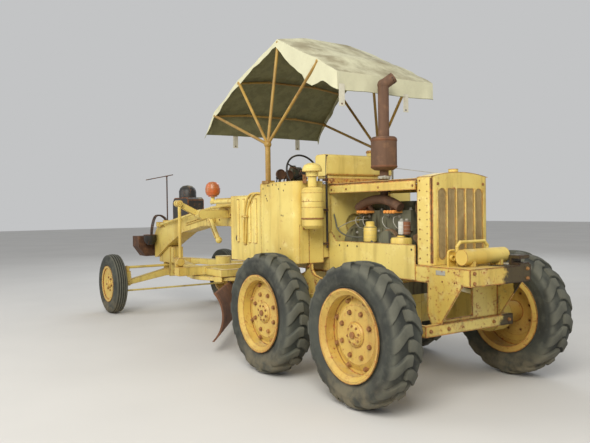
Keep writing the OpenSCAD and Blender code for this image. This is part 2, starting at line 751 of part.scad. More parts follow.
module front_panels() {
    flute_r = 26;
    low = cowl_z - 30;
    color(paint) placed() pair() {
        block([cowl_front + turn_gap, panel_y - cowl_t, low], [panel_front, panel_y, panel_top]);
        for (i = [0 : 3]) translate([cowl_front + 150 + i * 140, panel_y - 6, cowl_z + 190])
            cylinder(r = flute_r, h = panel_top - cowl_z - 230, $fn = fn_small);
        block([panel_front - cowl_t, panel_y - 180, low], [panel_front, panel_y - cowl_t + 1, panel_top]);
    }
}

module seat_frame() {
    floor_top = rail_top + floor_t;
    color(black) placed() {
        translate([seat_x, 0, floor_top]) cylinder(d = 120, h = seat_z - floor_top, $fn = fn_small);
        block([seat_x - 210, -240, seat_z - 20], [seat_x + 210, 240, seat_z]);
        block([seat_x - 230, -240, seat_z - 20], [seat_x - 209, 240, seat_z + 320]);
    }
}

module seat_cushion() {
    back = seat_x - 209 + turn_gap;
    color(black) placed() {
        block([back, -236, seat_z + turn_gap], [seat_x + 230, 236, seat_z + 90]);
        block([back, -236, seat_z + 89], [back + 70, 236, seat_z + 400]);
    }
}

module controls() {
    wheel_r = steer_wheel_d / 2 - 12;
    console_x = panel_front - cowl_t - 2 * turn_gap - floor_t;
    color(black) placed() {
        translate(wheel_centre) rotate([0, -wheel_tilt, 0]) {
            rotate_extrude($fn = fn_round) translate([wheel_r, 0]) circle(d = 24, $fn = 16);
            cylinder(d = 90, h = 40, center = true, $fn = fn_small);
            for (a = [60, 180, 300]) rotate([0, 0, a]) bar([0, 0, 0], [wheel_r, 0, 0], 18);
            translate([0, 0, -column_l]) cylinder(d = 46, h = column_l, $fn = fn_small);
        }
        // Console, the column's pedestal and the row of levers
        block([console_x - 160, -console_w / 2, 1500], [console_x, console_w / 2, console_top]);
        block([console_x - 150, -50, console_top - 1], [console_x - 60, 50, 2125]);
        for (s = [-1, 1], i = [0 : 3]) {
            foot = [console_x - 84, s * (110 + i * 54), console_top - 24];
            knob = [console_x - 188, foot[1], 2118];
            bar(foot, knob, 16);
            translate(knob) sphere(d = 38, $fn = fn_small);
        }
    }
}

module canopy_frame() {
    joint = [post_x, post_y, 2450];
    base = [post_x, post_y, cowl_top];
    inset = 10;
    bow_d = tube_d * 0.8;
    in_side = cowl_y - cowl_t - turn_gap;
    color([0.70, 0.52, 0.20]) placed() {
        pair() {
            // Post with its foot on the cowl's edge
            bar(base + [0, 0, 25], joint - [0, 0, inset], 60);
            block(base + [-60, -38, -110], [base[0] + 60, in_side, base[2] + 20]);
            block(base + [-70, -42, turn_gap], base + [70, 42, 30]);
            translate(joint) sphere(d = 84, $fn = fn_small);
            for (b = BOWS) {
                strut(joint, [b[0], b[1], b[2]], tube_d, inset);
                translate([b[0], b[1], b[2]]) sphere(d = tube_d + 12, $fn = fn_small);
                strut([b[0], b[1], b[2]], bow_knee(b), bow_d, inset);
                translate(bow_knee(b)) sphere(d = knee_d, $fn = fn_small);
            }
        }
        for (b = BOWS) strut(bow_knee(b) - [0, 2 * bow_knee(b)[1], 0], bow_knee(b), bow_d, inset);
    }
}

module canopy_cloth() {
    // Side profile of the cloth's upper face from the rear hem to the front hem: [x, z, slope beside it]
    PROFILE = concat([[0, 2915, 0], [-8, 3112, 33]],
        [for (b = BOWS) [b[0], b[2] + b[3] + (knee_d / 2 + turn_gap + cloth_t) / cos(b[4]), b[4]]],
        [[2480, 2712, 56]]);
    outer = [for (p = PROFILE) [p[0], p[1]]];
    n = len(PROFILE);
    inner = [for (i = [n - 1 : -1 : 0]) [PROFILE[i][0] + (i < 2 ? cloth_t : 0),
        PROFILE[i][1] - (i == 0 ? 0 : cloth_t / cos(PROFILE[i][2]))]];
    wide = 100;
    color([0.80, 0.80, 0.70]) placed() intersection() {
        translate([0, cloth_front_half + wide, 0]) rotate([90, 0, 0]) linear_extrude(2 * (cloth_front_half + wide))
            polygon(concat(outer, inner));
        translate([0, 0, 2600]) linear_extrude(1300) polygon([[-50, -cloth_rear_half],
            [1040, -cloth_rear_half - 20], [2480, -cloth_front_half], [2600, -cloth_front_half],
            [2600, cloth_front_half], [2480, cloth_front_half], [1040, cloth_rear_half + 20],
            [-50, cloth_rear_half]]);
    }
}

module beacon() {
    y = panel_y - 60;
    end = [panel_front + 640, y, 1835];
    color([0.75, 0.40, 0.15]) placed() {
        bar([panel_front + turn_gap, y, 1835], end, 56);
        translate(end + [-30, 0, 10]) cylinder(d = 50, h = 60, $fn = fn_small);
        translate(end + [-30, 0, 68]) cylinder(d = 120, h = 20, $fn = fn_small);
        translate(end + [-30, 0, 87]) rotate_extrude($fn = fn_small) polygon([[0, 0], [78, 0], [96, 40],
            [98, 90], [84, 140], [50, 172], [0, 182]]);
    }
}

module air_tank() {
    z = rail_top + 85;
    color(paint) placed() {
        translate([-rear_reach + 200, 0, z]) rotate([90, 0, 0]) cylinder(d = 140, h = 560, center = true, $fn = fn_round);
        for (y = [-180, 180]) block([-rear_reach + 140, y - 20, rail_top], [-rear_reach + 260, y + 20, z - 20]);
        // Bent guard over the tank
        x = -rear_reach + 320;
        bent_bar([[x, 200, rail_top], [x, 200, rail_top + 170], [x, 160, rail_top + 210],
            [x, -160, rail_top + 210], [x, -200, rail_top + 170], [x, -200, rail_top]], 30);
    }
}

// Main frame, lift gear and front end

module main_frame() {
    outline = concat([for (s = ARCH) [s[0], s[1]]], [for (i = [len(ARCH) - 1 : -1 : 0]) [ARCH[i][0], ARCH[i][2]]]);
    color(paint) placed() {
        side_plate(outline, 0, frame_w);
        // Bolster over the front axle's centre pin
        block([wheelbase - 150, -90, front_axle_z + 165], [wheelbase + 330, 90, 1100]);
        for (x = [wheelbase - 150, wheelbase + 110])
            block([x, -90, front_axle_z - 70], [x + 40, 90, front_axle_z + 166]);
        translate([wheelbase - 160, 0, front_axle_z]) rotate([0, 90, 0])
            cylinder(d = axle_pin_d, h = 330, $fn = fn_round);
        // Ball for the drawbar behind the bolster
        translate([drawbar_ball_x, 0, drawbar_ball_z]) sphere(d = drawbar_ball_d, $fn = fn_round);
        block([drawbar_ball_x, -26, drawbar_ball_z - 26], [wheelbase - 149, 26, drawbar_ball_z + 26]);
    }
}

module steering_gear() {
    shaft_d = 40;
    seat = gear_seat_z + turn_gap;
    color(paint) placed() {
        block([wheelbase + 20, -140, seat], [wheelbase + 290, 140, seat + 80]);
        translate([wheelbase + 180, 0, seat + 79]) cylinder(d = 150, h = 40, $fn = fn_small);
        block([wheelbase + 60, 100, seat + 5], [wheelbase + 180, 205, seat + 90]);
        // Steering shaft from the console along the left of the frame
        bent_bar([[panel_front + 2, shaft_y, 1860], [circle_x + 300, shaft_y, 1765],
            [wheelbase + 61, 170, seat + 45]], shaft_d);
    }
}

module front_box() {
    back = wheelbase + 500;
    color([0.42, 0.26, 0.18]) placed() {
        rotate([90, 0, 90]) translate([0, 0, back]) linear_extrude(front_tip - back)
            polygon([[-nose_half, 1270], [-nose_half, 1080], [-nose_half + 130, 900], [nose_half - 130, 900],
                [nose_half, 1080], [nose_half, 1270]]);
        block([ARCH[len(ARCH) - 1][0] + turn_gap, -80, 920], [back + 1, 80, 1240]);
    }
}

module lift_housing() {
    x = circle_x;
    side = frame_w / 2 + turn_gap;
    arm = 60;
    color(paint) placed() {
        block([x - 170, -230, 1760 + turn_gap], [x + 230, 230, 1900]);
        pair() {
            block([x - 170, side, 1620], [x + 230, side + 40, 1761]);
            block([x - arm, side, lift_shaft_z - 60], [x + arm, lift_shaft_y, lift_shaft_z + 60]);
            translate([x - arm, lift_shaft_y, lift_shaft_z]) rotate([0, 90, 0])
                cylinder(d = 140, h = 2 * arm, $fn = fn_round);
            translate([x + arm - 1, lift_shaft_y, lift_shaft_z]) rotate([0, 90, 0])
                cylinder(d = lift_pin_d, h = 60, $fn = fn_round);
        }
    }
}

module centre_shift() {
    top = [circle_x + 500, 190, 1600];
    low = [circle_x + 60, 280, 1290];
    teeth = 10;
    color(paint) placed() {
        bar(top, low, 60);
        for (i = [0 : teeth - 1]) {
            p = 0.06 + 0.7 * i / (teeth - 1);
            translate(top + (low - top) * p + [18, 0, -24]) rotate([0, 35, 0]) cube([22, 64, 60], center = true);
        }
        translate(low) sphere(d = 96, $fn = fn_small);
        block([circle_x + 450, frame_w / 2 + turn_gap, 1540], [circle_x + 560, 220, 1660]);
    }
}

arm_x = circle_x + 60 + turn_gap;
link_w = 50;
link_x = arm_x - 8 - link_w / 2;
ball_y = lift_shaft_y + lift_arm_l * cos(lift_arm_a);
ball_z = drawbar_ball_z - 5;
lift_tip_z = lift_shaft_z + lift_arm_l * sin(lift_arm_a);

module lift_arm(side) {
    w = 56;
    color(paint) placed() on_side(side) {
        difference() {
            union() {
                translate([arm_x, lift_shaft_y, lift_shaft_z]) rotate([0, 90, 0])
                    cylinder(d = 130, h = w, $fn = fn_round);
                translate([arm_x, ball_y, lift_tip_z]) rotate([0, 90, 0]) cylinder(d = 96, h = w, $fn = fn_round);
                translate([arm_x, lift_shaft_y, lift_shaft_z]) rotate([lift_arm_a, 0, 0])
                    translate([0, 0, -40]) cube([w, lift_arm_l, 80]);
            }
            translate([arm_x - 1, lift_shaft_y, lift_shaft_z]) rotate([0, 90, 0])
                cylinder(d = lift_pin_d + 2 * spindle_gap, h = w + 4, $fn = fn_round);
        }
        translate([link_x - link_w / 2 - 6, ball_y, lift_tip_z]) rotate([0, 90, 0])
            cylinder(d = 44, h = arm_x - link_x + link_w / 2 + 7, $fn = fn_round);
    }
}

module lift_link(side) {
    top = [link_x, ball_y, lift_tip_z];
    low = [link_x, ball_y, ball_z];
    color(paint) placed() on_side(side) difference() {
        union() {
            translate(top) rotate([0, 90, 0]) cylinder(d = 90, h = link_w, center = true, $fn = fn_round);
            bar(low, top, 44);
            translate(low) rotate([0, 90, 0]) cylinder(d = 110, h = link_w, center = true, $fn = fn_round);
        }
        translate(top) rotate([0, 90, 0])
            cylinder(d = 44 + 2 * spindle_gap, h = link_w + 4, center = true, $fn = fn_round);
    }
}

module drawbar() {
    top = drawbar_z + drawbar_h;
    lug_x = link_x + link_w / 2 + 9 * turn_gap;
    socket_l = 95;
    color(paint) placed() {
        difference() {
            union() {
                translate([0, 0, drawbar_z]) linear_extrude(drawbar_h) difference() {
                    polygon([[circle_x - 560, 560], [circle_x + 540, 560], [drawbar_ball_x - 60, 90],
                        [drawbar_ball_x - 60, -90], [circle_x + 540, -560], [circle_x - 560, -560]]);
                    polygon([[circle_x - 450, 450], [circle_x + 490, 450], [drawbar_ball_x - 420, 80],
                        [drawbar_ball_x - 420, -80], [circle_x + 490, -450], [circle_x - 450, -450]]);
                }
                block([drawbar_ball_x - socket_l, -90, drawbar_z], [drawbar_ball_x + 16, 90, drawbar_ball_z + 80]);
            }
            translate([drawbar_ball_x, 0, drawbar_ball_z]) sphere(d = drawbar_ball_d + 2 * turn_gap, $fn = fn_round);
        }
        // Yoke across the circle, with a lug for each lift link
        block([circle_x - 70, -ball_y - 60, drawbar_z], [lug_x + 40, ball_y + 60, drawbar_z + 120]);
        pair() {
            block([lug_x, ball_y - 55, drawbar_z + 119], [lug_x + 40, ball_y + 55, ball_z + 50]);
        }
        // Shoes that carry the circle
        for (a = [50, 130, 230, 310]) translate([circle_x, 0, 0]) rotate([0, 0, a]) {
            block([circle_d / 2 - circle_w, -60, circle_top + turn_gap], [circle_d / 2 + 50, 60, drawbar_z + 1]);
            block([circle_d / 2 + 5, -60, circle_top - circle_h - 12], [circle_d / 2 + 50, 60, drawbar_z]);
            block([circle_d / 2 - 24, -60, circle_top - circle_h - 12], [circle_d / 2 + 50, 60,
                circle_top - circle_h - turn_gap]);
        }
        // Circle drive housing
        translate([circle_x + 470, 0, drawbar_z]) cylinder(d = 240, h = 210, $fn = fn_small);
        block([circle_x + 380, -460, drawbar_z + 20], [circle_x + 560, 460, drawbar_z + 60]);
    }
}

shoe_h = 10;
circle_top = drawbar_z - shoe_h - turn_gap;
blade_r = 430;
blade_back = -60;
blade_cx = blade_back + blade_r + blade_t;
blade_cz = blade_z + blade_r * sin(45);

// The blade's own frame: under the circle's centre, X to the front of the blade
module in_circle() {
    translate([circle_x, 0, 0]) rotate([0, 0, blade_angle]) children();
}

module circle_ring() {
    ring_r = circle_d / 2;
    in_r = ring_r - circle_w;
    bottom = circle_top - circle_h;
    pitch = 360 / circle_teeth;
    arm_y = in_r * 0.88;
    color(paint) placed() in_circle() {
        translate([0, 0, bottom]) linear_extrude(circle_h) difference() {
            circle(r = ring_r, $fn = 96);
            difference() {
                circle(r = in_r + 26, $fn = 96);
                for (i = [0 : circle_teeth - 1]) rotate([0, 0, i * pitch])
                    polygon([[in_r, -8], [in_r + 40, -17], [in_r + 40, 17], [in_r, 8]]);
            }
        }
        // Arms that carry the blade, and the rails across its back
        pair() difference() {
            side_plate([[-350, bottom + 1], [60, bottom + 1], [60, bottom - 40], [-20, blade_z + 150],
                [-150, blade_z + 150], [-350, bottom - 120]], arm_y, 36);
            translate([blade_cx, 0, blade_cz]) rotate([90, 0, 0])
                cylinder(r = blade_r + blade_t + turn_gap, h = 2 * blade_l, center = true, $fn = 128);
        }
        for (z = [blade_z + 190, bottom - 110])
            block([-190, -arm_y, z], [-140, arm_y, z + 50]);
    }
}

module moldboard() {
    color(rust) placed() in_circle() intersection() {
        translate([blade_cx, 0, blade_cz]) rotate([90, 0, 0]) difference() {
            cylinder(r = blade_r + blade_t, h = blade_l, center = true, $fn = 128);
            cylinder(r = blade_r, h = blade_l + 2, center = true, $fn = 128);
        }
        block([blade_back - 10, -blade_l / 2 - 1, blade_z], [blade_cx, blade_l / 2 + 1, blade_z + blade_h]);
    }
}

module front_axle() {
    x = wheelbase - front_axle_t / 2;
    eye = 90;
    color(paint) placed() difference() {
        union() {
            rotate([90, 0, 90]) translate([0, 0, x]) linear_extrude(front_axle_t)
                polygon([[-lean_y, lean_z - 40], [-lean_y, lean_z + 40], [-90, front_axle_z + 70],
                    [90, front_axle_z + 70], [lean_y, lean_z + 40], [lean_y, lean_z - 40],
                    [130, front_axle_z - 60], [-130, front_axle_z - 60]]);
            pair() translate([x, lean_y, lean_z]) rotate([0, 90, 0]) cylinder(d = eye, h = front_axle_t, $fn = fn_round);
            translate([wheelbase - 110 + turn_gap, 0, front_axle_z]) rotate([0, 90, 0])
                cylinder(d = 150, h = 220 - 2 * turn_gap, $fn = fn_round);
        }
        translate([wheelbase - 120, 0, front_axle_z]) rotate([0, 90, 0])
            cylinder(d = axle_pin_d + 2 * spindle_gap, h = 240, $fn = fn_round);
        pair() translate([x - 1, lean_y, lean_z]) rotate([0, 90, 0])
            cylinder(d = 44 + 2 * spindle_gap, h = front_axle_t + 2, $fn = fn_round);
    }
}

cheek_x = front_axle_t / 2 + 6;
cheek_t = 20;
barrel_d = 72;
barrel_half = 60;
lean_top = lean_z + lean_bar_rise;

module lean_bracket(side) {
    web_out = kingpin_y - barrel_d / 2 - 10;
    color(paint) placed() on_side(side) difference() {
        union() {
            for (x = [-cheek_x - cheek_t, cheek_x]) translate([wheelbase + x, 0, 0]) rotate([90, 0, 90])
                linear_extrude(cheek_t) {
                    translate([lean_y, lean_z]) circle(d = 100, $fn = fn_round);
                    polygon([[lean_y - 10, lean_z - 50], [web_out, lean_z - 50], [web_out, lean_z + 60],
                        [lean_y + 32, lean_top - 60], [lean_y - 32, lean_top - 60], [lean_y - 48, lean_z + 10]]);
                }
            translate([wheelbase - cheek_x - 1, web_out - 18, lean_z - 50]) cube([2 * cheek_x + 2, 18, 110]);
            // Lean bar fork above the axle
            translate([wheelbase - cheek_x - 1, lean_y - 32, lean_top - 90]) cube([2 * cheek_x + 2, 64, 30]);
            for (x = [-42, 24]) translate([wheelbase + x, lean_y, 0]) {
                translate([0, -28, lean_top - 61]) cube([18, 56, 61]);
                translate([0, 0, lean_top]) rotate([0, 90, 0]) cylinder(d = 56, h = 18, $fn = fn_small);
            }
            translate([wheelbase - 43, lean_y, lean_top]) rotate([0, 90, 0])
                cylinder(d = link_pin_d, h = 86, $fn = fn_small);
            // Lean pivot pin
            translate([wheelbase - cheek_x - cheek_t - 14, lean_y, lean_z]) rotate([0, 90, 0])
                cylinder(d = 44, h = 2 * (cheek_x + cheek_t + 14), $fn = fn_round);
            // Kingpin barrel
            translate([wheelbase - 30, web_out - 1, lean_z - barrel_half]) cube([60, kingpin_y - web_out, 2 * barrel_half]);
            translate([wheelbase, kingpin_y, lean_z - barrel_half]) cylinder(d = barrel_d, h = 2 * barrel_half,
                $fn = fn_round);
        }
        translate([wheelbase, kingpin_y, lean_z - barrel_half - 1]) cylinder(d = 40 + 2 * spindle_gap,
            h = 2 * barrel_half + 2, $fn = fn_round);
    }
}

module lean_bar() {
    d = 44;
    color(paint) placed() difference() {
        union() {
            bar([wheelbase, -lean_y, lean_top], [wheelbase, lean_y, lean_top], d);
            pair() translate([wheelbase - 18, lean_y, lean_top]) rotate([0, 90, 0]) cylinder(d = 54, h = 36, $fn = fn_round);
        }
        for (end = [[lean_y, spindle_gap], [-lean_y, open_gap]])
            translate([wheelbase, end[0], lean_top]) rotate([0, 90, 0])
                cylinder(d = link_pin_d + 2 * end[1], h = 2 * d, center = true, $fn = fn_small);
    }
}

lug_z = barrel_half + turn_gap;
lug_t = 30;
arm_low = lean_z - lug_z - lug_t;
tie_z = arm_low - 26;

module knuckle(side) {
    plate_y = kingpin_y + barrel_d / 2 + 8;
    color(paint) placed() on_side(side) {
        for (z = [lean_z - lug_z - lug_t, lean_z + lug_z]) translate([wheelbase, kingpin_y, z]) {
            cylinder(d = 80, h = lug_t, $fn = fn_round);
            translate([-40, 0, 0]) cube([80, front_hub_y - kingpin_y, lug_t]);
        }
        translate([wheelbase - 40, plate_y, arm_low]) cube([80, front_hub_y - plate_y, 2 * (lug_z + lug_t)]);
        translate([wheelbase, kingpin_y, arm_low + 1]) cylinder(d = 40, h = 2 * (lug_z + lug_t) - 2, $fn = fn_round);
        translate([wheelbase, front_hub_y - 1, lean_z]) rotate([-90, 0, 0])
            cylinder(d = front_spindle_d, h = front_track_half + 70 - front_hub_y, $fn = fn_round);
        // Steering arm with its pin
        translate([wheelbase - steer_arm, kingpin_y - 18, arm_low]) cube([steer_arm, 36, lug_t]);
        translate([wheelbase - steer_arm, kingpin_y, arm_low]) cylinder(d = 50, h = lug_t, $fn = fn_small);
        translate([wheelbase - steer_arm, kingpin_y, tie_z - 20]) cylinder(d = link_pin_d - 4, h = 47, $fn = fn_small);
    }
}

tie_ball_d = 48;
tie_eye_h = 24;

module tie_ball() {
    color(rust) placed() translate([wheelbase - steer_arm, kingpin_y, tie_z]) difference() {
        intersection() {
            sphere(d = tie_ball_d, $fn = fn_round);
            cube([60, 60, tie_eye_h + 10], center = true);
        }
        cylinder(d = link_pin_d - 4 + 2 * spindle_gap, h = 80, center = true, $fn = fn_small);
    }
}

module tie_rod() {
    x = wheelbase - steer_arm;
    eye_d = 70;
    color(paint) placed() difference() {
        union() {
            bar([x, -kingpin_y + 31, tie_z], [x, kingpin_y - 31, tie_z], 30);
            pair() translate([x, kingpin_y, tie_z]) cylinder(d = eye_d, h = tie_eye_h, center = true, $fn = fn_round);
        }
        translate([x, kingpin_y, tie_z]) sphere(d = tie_ball_d + 2 * turn_gap, $fn = fn_round);
        translate([x, -kingpin_y, tie_z]) cylinder(d = link_pin_d - 4 + 2 * tie_gap, h = 60, center = true, $fn = fn_round);
    }
}

main_frame();
steering_gear();
front_box();
rear_frame();
axle_housing();
tandem_cases();
engine();
exhaust_manifold();
radiator_shell();
radiator_core();
hood();
engine_sides();
bulkhead();
fuel_tank();
muffler_stack();
air_cleaner();
platform();
cowls();
front_panels();
seat_frame();
seat_cushion();
controls();
canopy_frame();
canopy_cloth();
beacon();
air_tank();
lift_housing();
centre_shift();
lift_arm(1);  // lift_arm_left
lift_arm(-1);  // lift_arm_right
lift_link(1);  // lift_link_left
lift_link(-1);  // lift_link_right
drawbar();
circle_ring();  // circle
moldboard();
front_axle();
lean_bracket(1);  // lean_bracket_left
lean_bracket(-1);  // lean_bracket_right
lean_bar();
knuckle(1);  // knuckle_left
knuckle(-1);  // knuckle_right
tie_ball();
tie_rod();
front_rim(1);  // front_rim_left
front_rim(-1);  // front_rim_right
front_tyre(1);  // front_tyre_left
front_tyre(-1);  // front_tyre_right
for (w = REAR_WHEELS) {
    rear_rim(w[1], w[2]);
    rear_tyre(w[1], w[2]);
}
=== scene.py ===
import math
import random

import bmesh
import bpy
from mathutils import Matrix, Vector, noise


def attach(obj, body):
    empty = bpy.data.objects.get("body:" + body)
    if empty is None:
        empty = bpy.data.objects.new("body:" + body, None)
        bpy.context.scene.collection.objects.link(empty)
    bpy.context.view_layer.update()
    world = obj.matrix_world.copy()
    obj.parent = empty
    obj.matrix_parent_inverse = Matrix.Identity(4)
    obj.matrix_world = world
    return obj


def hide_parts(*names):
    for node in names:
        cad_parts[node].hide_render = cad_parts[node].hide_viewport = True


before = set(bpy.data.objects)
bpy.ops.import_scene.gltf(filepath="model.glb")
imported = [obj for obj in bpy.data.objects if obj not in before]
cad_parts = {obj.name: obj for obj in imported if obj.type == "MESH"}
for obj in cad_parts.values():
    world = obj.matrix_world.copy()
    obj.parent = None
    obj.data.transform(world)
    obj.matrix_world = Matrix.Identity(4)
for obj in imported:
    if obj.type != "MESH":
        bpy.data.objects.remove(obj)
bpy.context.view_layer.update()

# Viewing place
# A photographer at eye height, behind and to the left of the machine, with a lens of 39 mm on a
# 36 mm wide frame. Places in all sections are counted from the middle of the tandem, where the rear axle is.
TANDEM_X = -2.590
EYE = (-5.0560 + TANDEM_X, 4.5441, 1.7180)
YAW, PITCH, ROLL = -0.58756, -0.01834, -0.01342
LENS = 39.16
ahead = Vector((math.cos(YAW) * math.cos(PITCH), math.sin(YAW) * math.cos(PITCH), math.sin(PITCH)))
level = Vector((math.sin(YAW), -math.cos(YAW), 0))
upright = level.cross(ahead)
across = level * math.cos(ROLL) + upright * math.sin(ROLL)
above = upright * math.cos(ROLL) - level * math.sin(ROLL)
camera = bpy.data.objects.new("camera", bpy.data.cameras.new("camera"))
camera.matrix_world = Matrix((across, above, -ahead)).transposed().to_4x4()
camera.location = EYE
camera.data.lens = LENS
camera.data.clip_end = 200
bpy.context.collection.objects.link(camera)
bpy.context.scene.camera = camera

# Floor, backdrop and light
# A plain pale studio floor under a pale sky, lit by one large soft lamp from the rear left, where the sun
# stood, and two weaker ones from the front right and the front left. The world fills the shadows.
FLOOR_SIZE = 120
FLOOR_GREYS = (0.60, 0.59, 0.57, 1), (0.636, 0.6254, 0.6042, 1)
SKY_GREYS = (0.80, 0.81, 0.82, 1), (0.88, 0.89, 0.90, 1)
SKY_STRENGTH = 0.62
LAMP_TARGET = Vector((-1.2, 0, 1.2))
LAMPS = [("key", (-9.0, 8.0, 9.0), 7.0, 1500, (1.0, 0.96, 0.88)),
         ("fill", (9.0, -9.0, 8.0), 9.0, 520, (0.90, 0.95, 1.0)),
         ("side", (4.0, 11.0, 5.0), 7.0, 420, (1.0, 0.98, 0.94))]


class Wire:
    """One output of a shader node. Arithmetic on it adds Math nodes."""

    def __init__(self, tree, socket=None):
        self.tree = tree
        self.socket = socket

    def node(self, kind, settings=None, values=None, out=0):
        """A new node with these settings and inputs, as a wire from one of its outputs."""
        made = self.tree.nodes.new(kind)
        for name, value in (settings or {}).items():
            setattr(made, name, value)
        for name, value in (values or {}).items():
            if isinstance(value, Wire):
                self.tree.links.new(value.socket, made.inputs[name])
            else:
                made.inputs[name].default_value = value
        return Wire(self.tree, made.outputs[out])

    def sum(self, operation, *terms):
        return self.node("ShaderNodeMath", {"operation": operation}, dict(enumerate(terms)))

    def __add__(self, other):
        return self.sum("ADD", self, other)

    def __sub__(self, other):
        return self.sum("SUBTRACT", self, other)

    def __rsub__(self, other):
        return self.sum("SUBTRACT", other, self)

    def __mul__(self, other):
        return self.sum("MULTIPLY", self, other)

    def between(self, low, high):
        """0 below low, 1 above high, and a smooth rise between."""
        return self.node("ShaderNodeMapRange", {"interpolation_type": "SMOOTHSTEP"},
                         {"Value": self, "From Min": low, "From Max": high})

    def over(self, lower, upper):
        """Lower where this is 0 and upper where it is 1: wires, or colours as on screen, from 0 to 255."""
        lower, upper = [c if isinstance(c, Wire) or len(c) == 4 else tint(c) for c in (lower, upper)]
        return self.node("ShaderNodeMix", {"data_type": "RGBA"}, {0: self, 6: lower, 7: upper}, 2)

    def noise(self, scale, detail=4.0, rough=0.55, stretch=(1, 1, 1)):
        """Cloudy noise from 0 to 1 at this place, with scale in waves to the metre."""
        place = self.node("ShaderNodeMapping", {}, {"Vector": self, "Scale": stretch})
        return self.node("ShaderNodeTexNoise", {}, {"Vector": place, "Scale": scale, "Detail": detail,
                                                     "Roughness": rough})

    def axis(self, letter):
        return self.node("ShaderNodeSeparateXYZ", {}, {0: self}, letter)


def tint(colour, share=1.0):
    """A colour as on screen, from 0 to 255, as the light that it sends back, or as a share of that light."""
    light = [((c / 255 + 0.055) / 1.055) ** 2.4 if c > 10 else c / 255 / 12.92 for c in colour]
    return (*(share * c for c in light), 1)


def finish(name):
    """A new material with its surface shader, and a wire of the place of each point in metres."""
    made = bpy.data.materials.new(name)
    made.use_nodes = True
    place = Wire(made.node_tree).node("ShaderNodeTexCoord", out="Object")
    return made, made.node_tree.nodes["Principled BSDF"], place


def feed(shader, name, wire):
    wire.tree.links.new(wire.socket, shader.inputs[name])


def coat(shader, colour, rough, height, depth):
    """Feeds a surface its colour and roughness, and bumps of a height from 0 to 1, depth metres high."""
    feed(shader, "Base Color", colour)
    feed(shader, "Roughness", rough)
    feed(shader, "Normal", height.node("ShaderNodeBump", {}, {"Height": height, "Distance": depth,
                                                              "Strength": 0.8}))


floor_grey, shader, place = finish("studio_floor")
feed(shader, "Base Color", place.noise(0.4, 3).between(0.3, 0.7).over(*FLOOR_GREYS))
shader.inputs["Roughness"].default_value = 0.9
bpy.ops.mesh.primitive_plane_add(size=FLOOR_SIZE)
floor = bpy.context.object
floor.name = "studio_floor"
floor.data.materials.append(floor_grey)

world = bpy.data.worlds.new("studio")
world.use_nodes = True
bpy.context.scene.world = world
sky = Wire(world.node_tree)
seen = sky.node("ShaderNodeLightPath", out="Is Camera Ray")
background = world.node_tree.nodes["Background"]
feed(background, "Color", seen.over(*SKY_GREYS))
background.inputs["Strength"].default_value = SKY_STRENGTH

for name, place, size, power, colour in LAMPS:
    lamp = bpy.data.lights.new(name, "AREA")
    lamp.size = size
    lamp.energy = power
    lamp.color = colour
    holder = bpy.data.objects.new(name, lamp)
    holder.location = Vector(place)
    holder.rotation_euler = (LAMP_TARGET - Vector(place)).to_track_quat("-Z", "Y").to_euler()
    bpy.context.collection.objects.link(holder)
bpy.context.scene.view_settings.view_transform = "Standard"

# Painted steel
# Frame, panels, cases and rims: thick steel in yellow enamel that has faded, chipped to brown rust at its
# edges, with dust on top, grime in patches and a darker tone towards the bottom. On frame, panels and cases
# the yellow is mottled with broad patches of painted shade. The solids are welded and bolted plate and
# castings. The rear beam is scarred, and its right end is blackened under a ragged edge of paint.
SUN_YELLOW = (224, 203, 116)
SHADE_YELLOW = (204, 174, 84)
PALE_YELLOW = (238, 223, 150)
RUST_BROWN = (112, 66, 38)
RUST_ORANGE = (172, 102, 48)
GRIME = (98, 82, 54)
DUST = (178, 164, 128)
BURNT_BEAM, BURNT_BAR = 3.87, 3.66


